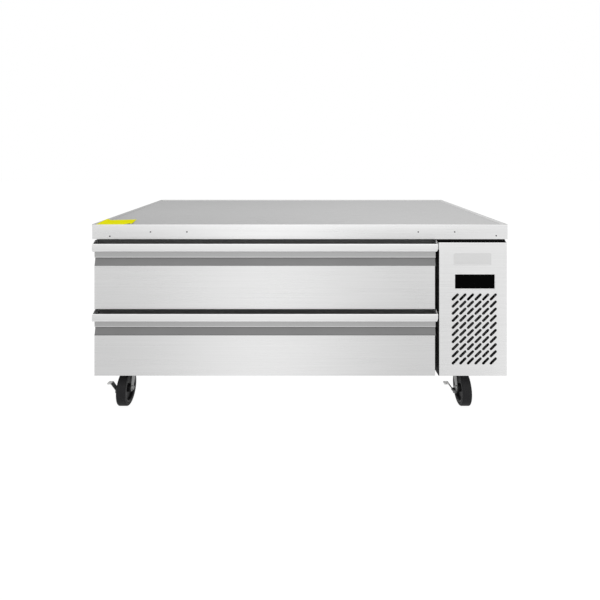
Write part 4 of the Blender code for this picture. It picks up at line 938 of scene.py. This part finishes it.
def add_ring(bm, outline, profile, middle=(0.0, 0.0)):
    """A closed ring of the profile round the outline."""
    rings = panel_rings(bm, outline, profile, middle)
    for ring, following in zip(rings, rings[1:] + rings[:1]):
        bridge(bm, ring, following)


def window_outline(spread):
    radius = WINDOW_RADIUS + spread * WINDOW_GROWTH
    return rounded_rectangle(grown(WINDOW_X, spread), grown(WINDOW_Z, spread), radius)


def plate_outline(spread):
    x_pair, z_pair = (grown((-size / 2, size / 2), spread) for size in PLATE_SIZE)
    return rounded_rectangle(x_pair, z_pair, PLATE_RADIUS + spread, BEND_STEPS)


def slot_outline(spread):
    """A leaning slot's outline about its own middle."""
    radius = SLOT_WIDTH / 2 + spread
    reach = (SLOT_LENGTH - SLOT_WIDTH) / 2 - SLOT_END * max(0.0, spread)
    points = []
    for turn in (0.0, math.pi):
        heading = SLOT_LEAN + turn
        end = (reach * math.cos(heading), reach * math.sin(heading))
        points += arc(end, radius, heading - math.pi / 2, heading + math.pi / 2, SLOT_STEPS)
    return points


def build_front_panel():
    panel = form("machine_front_panel", "panel", edge=0.0003, outer=0.0010)
    widen(panel, "machine_front_panel", (0.0, 0.0, 0.0), (PANEL_SPREAD, 0.0, -PANEL_TRIM))


def build_window():
    """Black lens over the control window, with a pale bezel."""
    bm = bmesh.new()
    add_plate(bm, window_outline(LENS_MARGIN), 1, [FRONT_Y - out for out in LENS_LAYER], 1)
    inner = LENS_MARGIN + BEZEL_GAP
    add_ring(bm, window_outline, [(inner + spread, out) for spread, out in BEZEL])
    finish_piece("window_bezel", bm, ("pale_plastic", "window"))


def build_blank_plate():
    bm = bmesh.new()
    add_layers(bm, panel_rings(bm, plate_outline, PLATE, PLATE_MIDDLE))
    finish_piece("blank_plate", bm, ("plate",))


def build_slot_lips():
    """Black lips round the air slots that widen their dark openings: painted shade."""
    bm = bmesh.new()
    for column in range(SLOT_COLUMNS):
        for row in range(SLOT_ROWS):
            middle = (SLOT_FIRST[0] + column * SLOT_PITCH[0], SLOT_FIRST[1] - row * SLOT_PITCH[1])
            add_ring(bm, slot_outline, SLOT_LIP, middle)
    finish_piece("slot_lips_painted_shade", bm, ("black",))


def build_edge_strip():
    """Black strip along the panel's return beside the drawer fronts, wrapped onto its face: painted shade in
    the gap.
    """
    low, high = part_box("machine_front_panel")
    face, side = low.y - STRIP_LAP, low.x - STRIP_LAP
    wrap, back = low.x + EDGE_WRAP, low.y + EDGE_DEPTH
    outline = [
        (wrap, face),
        (wrap, face - EDGE_SHEET),
        (side - EDGE_SHEET * EDGE_CORNER, face - EDGE_SHEET),
        (side - EDGE_SHEET, face - EDGE_SHEET * EDGE_CORNER),
        (side - EDGE_SHEET, back),
        (side, back),
        (side, face),
    ]
    bm = bmesh.new()
    add_plate(bm, outline, 2, (low.z + EDGE_FOOT, EDGE_TOP))
    finish_piece("bay_edge_painted_shade", bm, ("black",))


def build_top_strip():
    """Black strip between the panel's top and the worktop, with a gusset at its right end: painted shade in
    the gap.
    """
    low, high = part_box("machine_front_panel")
    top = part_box("worktop")[0].z - STRIP_END
    seat = high.z - PANEL_TRIM + STRIP_SHEET / 2 + STRIP_LAP
    back, right = low.y + STRIP_BACK, high.x - STRIP_END
    path = [(low.y + STRIP_END, seat), (back, seat), (back, top)]
    gusset = [(low.y + GUSSET_START, seat), (back, seat), (back, top)]
    bm = bmesh.new()
    add_bent_sheet(bm, path, STRIP_SHEET, (low.x + STRIP_START, right), (STRIP_BEND,))
    add_plate(bm, gusset, 0, (high.x - GUSSET_SHEET, right))
    finish_piece("bay_top_painted_shade", bm, ("black",))


def build_side_seal():
    """Dark seal behind the joint between the front panel's return and the side panel."""
    low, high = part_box("machine_side_panel")
    inner = low.x - SEAL_GAP
    x_pair = (inner - SEAL_SHEET, inner)
    y_pair = grown((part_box("machine_front_panel")[1].y, low.y), SEAL_LAP)
    bm = bmesh.new()
    outline = rounded_rectangle(x_pair, y_pair, SEAL_RADIUS, FILLET_STEPS)
    add_plate(bm, outline, 2, (low.z + SEAL_ENDS[0], high.z - SEAL_ENDS[1]))
    finish_piece("bay_side_seal", bm, ("black",))


# Fasteners and the fan guard

def build_panel_screws():
    """Screws round the removable side panel and the rear grille."""
    bm = bmesh.new()
    low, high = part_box("machine_side_panel")
    middle = (low + high) / 2
    for y in (low.y + SCREW_INSET, middle.y, high.y - SCREW_INSET):
        for z in (low.z + SCREW_INSET, high.z - SCREW_INSET):
            add_screw(bm, (high.x, y, z), 0, 1)
    low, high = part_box("machine_rear_grille")
    middle = (low + high) / 2
    for x in (low.x + SCREW_INSET, high.x - SCREW_INSET):
        for z in (low.z + SCREW_INSET, middle.z, high.z - SCREW_INSET):
            add_screw(bm, (x, high.y, z), 1, 1)
    finish_piece("panel_screws", bm, ("zinc",))


def build_plate_bolts(caster):
    """Hexagon heads that hold the caster's top plate to the cabinet floor."""
    node = caster + "_plate"
    low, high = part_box(node)
    bm = bmesh.new()
    for x in grown((low.x, high.x), -BOLT_INSET):
        for y in grown((low.y, high.y), -BOLT_INSET):
            add_turned(bm, BOLT_HEAD, 2, (x, y, high.z - BOLT_SEAT), 6)
    finish_piece(caster + "_bolts", bm, ("zinc",), BODY_OF[node])


def add_wire(bm, start, end):
    """A straight piece of the guard's wire between two points."""
    start, end = Vector(start), Vector(end)
    along = (end - start).normalized()
    side = along.orthogonal().normalized()
    across = along.cross(side)
    rings = []
    for point in (start, end):
        ring = []
        for number in range(GUARD_SIDES):
            angle = math.tau * number / GUARD_SIDES
            reach = math.cos(angle) * side + math.sin(angle) * across
            ring.append(bm.verts.new(point + GUARD_WIRE * reach))
        rings.append(ring)
    add_layers(bm, rings)


def build_fan_guard():
    """Wire guard over the evaporator fan, held on the cover by its bent spokes."""
    low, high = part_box("evaporator_fan_blade")
    middle = (low + high) / 2
    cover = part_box("evaporator_cover")[0].y
    face = cover - GUARD_REACH
    tip = (high.x - low.x) / 2
    bm = bmesh.new()
    rings = [(face, tip * share) for share in GUARD_RINGS]
    rings.append((cover - GUARD_WIRE, tip + GUARD_RIM))
    for place, radius in rings:
        section = arc((0.0, 0.0), GUARD_WIRE, 0.0, math.tau, GUARD_SIDES)
        profile = [(along, radius + reach) for along, reach in section]
        profile[-1] = profile[0]
        add_turned(bm, profile, 1, (middle.x, place, middle.z), GUARD_STEPS)
    for spoke in range(GUARD_SPOKES):
        angle = math.tau * (spoke + 0.5) / GUARD_SPOKES
        bend = []
        for place, radius in (rings[0], *rings[-2:]):
            bend.append((middle.x + radius * math.cos(angle), place, middle.z + radius * math.sin(angle)))
        for start, end in zip(bend, bend[1:]):
            add_wire(bm, start, end)
    finish_piece("evaporator_fan_guard", bm, ("zinc",))


# Casters

def build_wheel(caster):
    """Wheel with a moulded tyre, a raised ring where the tyre meets the core, a web and a hub; the ring's
    sides are a lighter grey, a painted highlight.
    """
    node = caster + "_wheel"
    low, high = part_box(node)
    middle = (low + high) / 2
    radius = (high.z - low.z) / 2
    half = TYRE_HALF
    hub = (high.x - low.x) / 2
    tyre = radius - TYRE_DEPTH
    rim = tyre - CORE_DEPTH
    right = [
        (half - 0.0022, tyre),
        (half - 0.0012, tyre + 0.0012),
        (half - 0.0006, tyre + 0.0045),
        (half, radius - 0.0055),
    ]
    shoulder = arc((0.0, radius - TREAD_ROUNDING), TREAD_ROUNDING, 0.0, math.pi / 2, BEND_STEPS)
    right += [(half - TREAD_ROUNDING + along, size) for along, size in shoulder]
    right.append((half * TREAD_FLAT, radius))
    core = [
        (half - 0.0022, tyre),
        (half - 0.0002, tyre - 0.0006),
        (half - 0.0002, tyre - 0.0026),
        (half - 0.0022, tyre - 0.0036),
        (half - 0.0024, rim),
        (0.0068, rim - 0.0016),
        (0.0060, rim - 0.005),
        (0.0060, 0.0175),
        (0.0072, 0.0150),
        (hub - 0.0006, 0.0140),
        (hub, 0.0132),
        (hub, 0.0054),
        (hub, 0.0053),
    ]
    bm = bmesh.new()
    for material, side in enumerate((right, core)):
        profile = side + [(-along, size) for along, size in reversed(side)]
        add_turned(bm, profile, 0, middle, WHEEL_STEPS, material)
    bmesh.ops.remove_doubles(bm, verts=bm.verts, dist=MERGE)
    for face in bm.faces:
        place = face.calc_center_median() - middle
        # Painted highlight: the ring's outer sides take the lighter ring finish
        if tyre - RING_DEPTH < math.hypot(place.y, place.z) < tyre and abs(place.x) > half - RING_WIDTH:
            face.material_index = 2
    finish_piece(node + "_formed", bm, ("tyre", "core", "ring"), node, (node,))


def build_brake_pad(caster):
    """Pale moulded sleeve on the brake lever's tab."""
    node = caster + "_brake"
    low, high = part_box(node)
    x_pair = (low.x - PAD_WALL, low.x + PAD_LENGTH)
    y_pair = (low.y - PAD_WALL, high.y + PAD_WALL)
    bottom, top = high.z - PAD_DEPTH, high.z + PAD_WALL
    soft = PAD_WALL * 2
    bm = bmesh.new()
    rings = []
    for inset, height in ((soft, bottom), (0.0, bottom + soft), (0.0, top - soft), (soft, top)):
        x_inner, y_inner = grown(x_pair, -inset), grown(y_pair, -inset)
        points = rounded_rectangle(x_inner, y_inner, PAD_RADIUS - inset)
        rings.append([bm.verts.new((*point, height)) for point in points])
    add_layers(bm, rings)
    finish_piece(node + "_pad", bm, ("pad",), BODY_OF[node])


def build_casters():
    for caster in CASTERS:
        build_wheel(caster)
        # The forks take the darkened zinc, painted shade
        form(caster + "_fork", "fork", edge=0.0006)
        form(caster + "_plate", "enamel", edge=0.0006)
        build_plate_bolts(caster)
        if caster.startswith("front"):
            form(caster + "_brake", "arm", edge=0.0005)
            build_brake_pad(caster)


# Everything else keeps its CAD form: its finish, its edge radius and its outer radius

PLAIN_FORMS = {
    "worktop_core": ("foam",),
    "cabinet_shell": ("steel", 0.0004, 0.0014),
    "cabinet_insulation": ("foam",),
    "cabinet_liner": ("liner",),
    "front_frame": ("steel",),
    "machine_side_panel": ("steel", 0.0003, 0.0010),
    "machine_rear_grille": ("steel", 0.0003, 0.0008),
    "control_fascia": ("window", 0.0003),
    "temperature_controller": ("plastic", 0.0010),
    "electrical_box": ("plastic", 0.0015),
    "compressor": ("enamel",),
    "condenser_coil": ("fins", 0.0001),
    "condenser_fan_shroud": ("galvanised", 0.0004, 0.0010),
    "condenser_fan_motor": ("motor", 0.0005),
    "condenser_fan_blade": ("fan", 0.0003),
    "condensate_pan": ("galvanised", 0.0004, 0.0010),
    "evaporator_coil": ("fins", 0.0001),
    "evaporator_cover": ("liner", 0.0003, 0.0010),
    "evaporator_fan_motor": ("motor", 0.0005),
    "evaporator_fan_blade": ("fan", 0.0003),
    "suction_line": ("copper", 0.0001),
    "liquid_line": ("copper", 0.0001),
    "power_cord_gland": ("enamel", 0.0006),
}


def build_plain_forms():
    for node, look in PLAIN_FORMS.items():
        form(node, *look)
    for drawer in DRAWERS:
        form(drawer + "_pan_frame", "zinc")
        for side in ("left", "right"):
            for member in ("outer", "middle"):
                form(f"{drawer}_slide_{member}_{side}", "zinc", edge=0.0003)


build_worktop()
build_underside()
build_skirt_screws()
build_film_label()
build_fronts()
build_front_panel()
build_window()
build_blank_plate()
build_slot_lips()
build_edge_strip()
build_top_strip()
build_side_seal()
build_panel_screws()
build_fan_guard()
build_casters()
build_plain_forms()


# Studio

def see_white(tree):
    """1 for what the camera, a mirror or glass sees, 0 for light that only lands on the object."""
    path = add_node(tree, "LightPath").outputs
    seen = calculate("MAXIMUM", path["Is Camera Ray"], path["Is Transmission Ray"])
    return calculate("MAXIMUM", seen, path["Is Glossy Ray"])


def build_world():
    world = bpy.data.worlds.new("studio_world")
    world.use_nodes = True
    tree = world.node_tree
    tree.nodes.clear()
    glossy = add_node(tree, "LightPath").outputs["Is Glossy Ray"]
    direction = add_node(tree, "TexCoord").outputs["Generated"]
    across = derive("SeparateXYZ", {"Vector": direction}).outputs["X"]
    soft, white, pale = (
        add_node(tree, "Background", {"Color": shade(1.0), "Strength": strength}).outputs[0]
        for strength in (WORLD_LIGHT, 1.0, remap(across, *WORLD_MIRRORED))
    )
    mixed = mix_shaders(see_white(tree), soft, mix_shaders(glossy, white, pale))
    derive("OutputWorld", {"Surface": mixed})
    bpy.context.scene.world = world


def mirrored_pool(tree):
    """The floor's strength in mirrors: a bright direction between two darker ones, fading out behind."""
    place = add_node(tree, "TexCoord").outputs["Object"]
    parts = derive("SeparateXYZ", {"Vector": place}).outputs
    ahead = calculate("MAXIMUM", calculate("SUBTRACT", POOL_ORIGIN[1], parts["Y"]), POOL_NEAREST)
    slope = calculate("DIVIDE", calculate("SUBTRACT", parts["X"], POOL_ORIGIN[0]), ahead)
    turn = calculate("ABSOLUTE", calculate("SUBTRACT", slope, POOL_MIDDLE))
    turn = calculate("DIVIDE", turn, POOL_REACH)
    limit = remap(parts["Y"], *POOL_TURNS)
    turn = calculate("MULTIPLY", calculate("MINIMUM", turn, limit), math.pi)
    near = remap(parts["Y"], *POOL_FADE)
    swing = calculate("MULTIPLY", calculate("COSINE", turn), near)
    return calculate("MULTIPLY_ADD", swing, (POOL_HIGH - POOL_LOW) / 2, (POOL_HIGH + POOL_LOW) / 2)


def build_floor():
    bm = bmesh.new()
    corners = ((-1, -1), (1, -1), (1, 1), (-1, 1))
    bm.faces.new([bm.verts.new((x * FLOOR_REACH, y * FLOOR_REACH, 0.0)) for x, y in corners])
    floor = add_mesh("studio_floor", bm)
    finish = bpy.data.materials.new("studio_floor")
    finish.use_nodes = True
    tree = finish.node_tree
    tree.nodes.clear()
    glossy = add_node(tree, "LightPath").outputs["Is Glossy Ray"]
    level = mix_values(glossy, FLOOR_GLOW, mirrored_pool(tree))
    paint = add_node(tree, "BsdfDiffuse", {"Color": shade(FLOOR_PAINT)}).outputs[0]
    glow = derive("Emission", {"Color": shade(1.0), "Strength": level}).outputs[0]
    share = calculate("MULTIPLY", see_white(tree), FLOOR_GLOW_SHARE)
    derive("OutputMaterial", {"Surface": mix_shaders(share, paint, glow)})
    floor.data.materials.append(finish)


def add_light(name, location, target, size, power):
    light = bpy.data.lights.new(name, "AREA")
    light.shape = "RECTANGLE"
    light.size, light.size_y = size
    light.energy = power
    lamp = add_object(name, light)
    lamp.location = location
    lamp.rotation_euler = (Vector(target) - Vector(location)).to_track_quat("-Z", "Y").to_euler()
    lamp.visible_camera = False


def build_camera():
    camera = bpy.data.cameras.new("camera")
    camera.sensor_width = CAMERA_SENSOR
    camera.lens = CAMERA_LENS
    camera.shift_x, camera.shift_y = CAMERA_SHIFT
    holder = add_object("camera", camera)
    holder.location = CAMERA_PLACE
    holder.rotation_euler = (math.pi / 2, 0.0, 0.0)
    bpy.context.scene.camera = holder


build_world()
build_floor()
for light in LIGHTS:
    add_light(*light)
build_camera()
bpy.context.scene.view_settings.view_transform = "Standard"
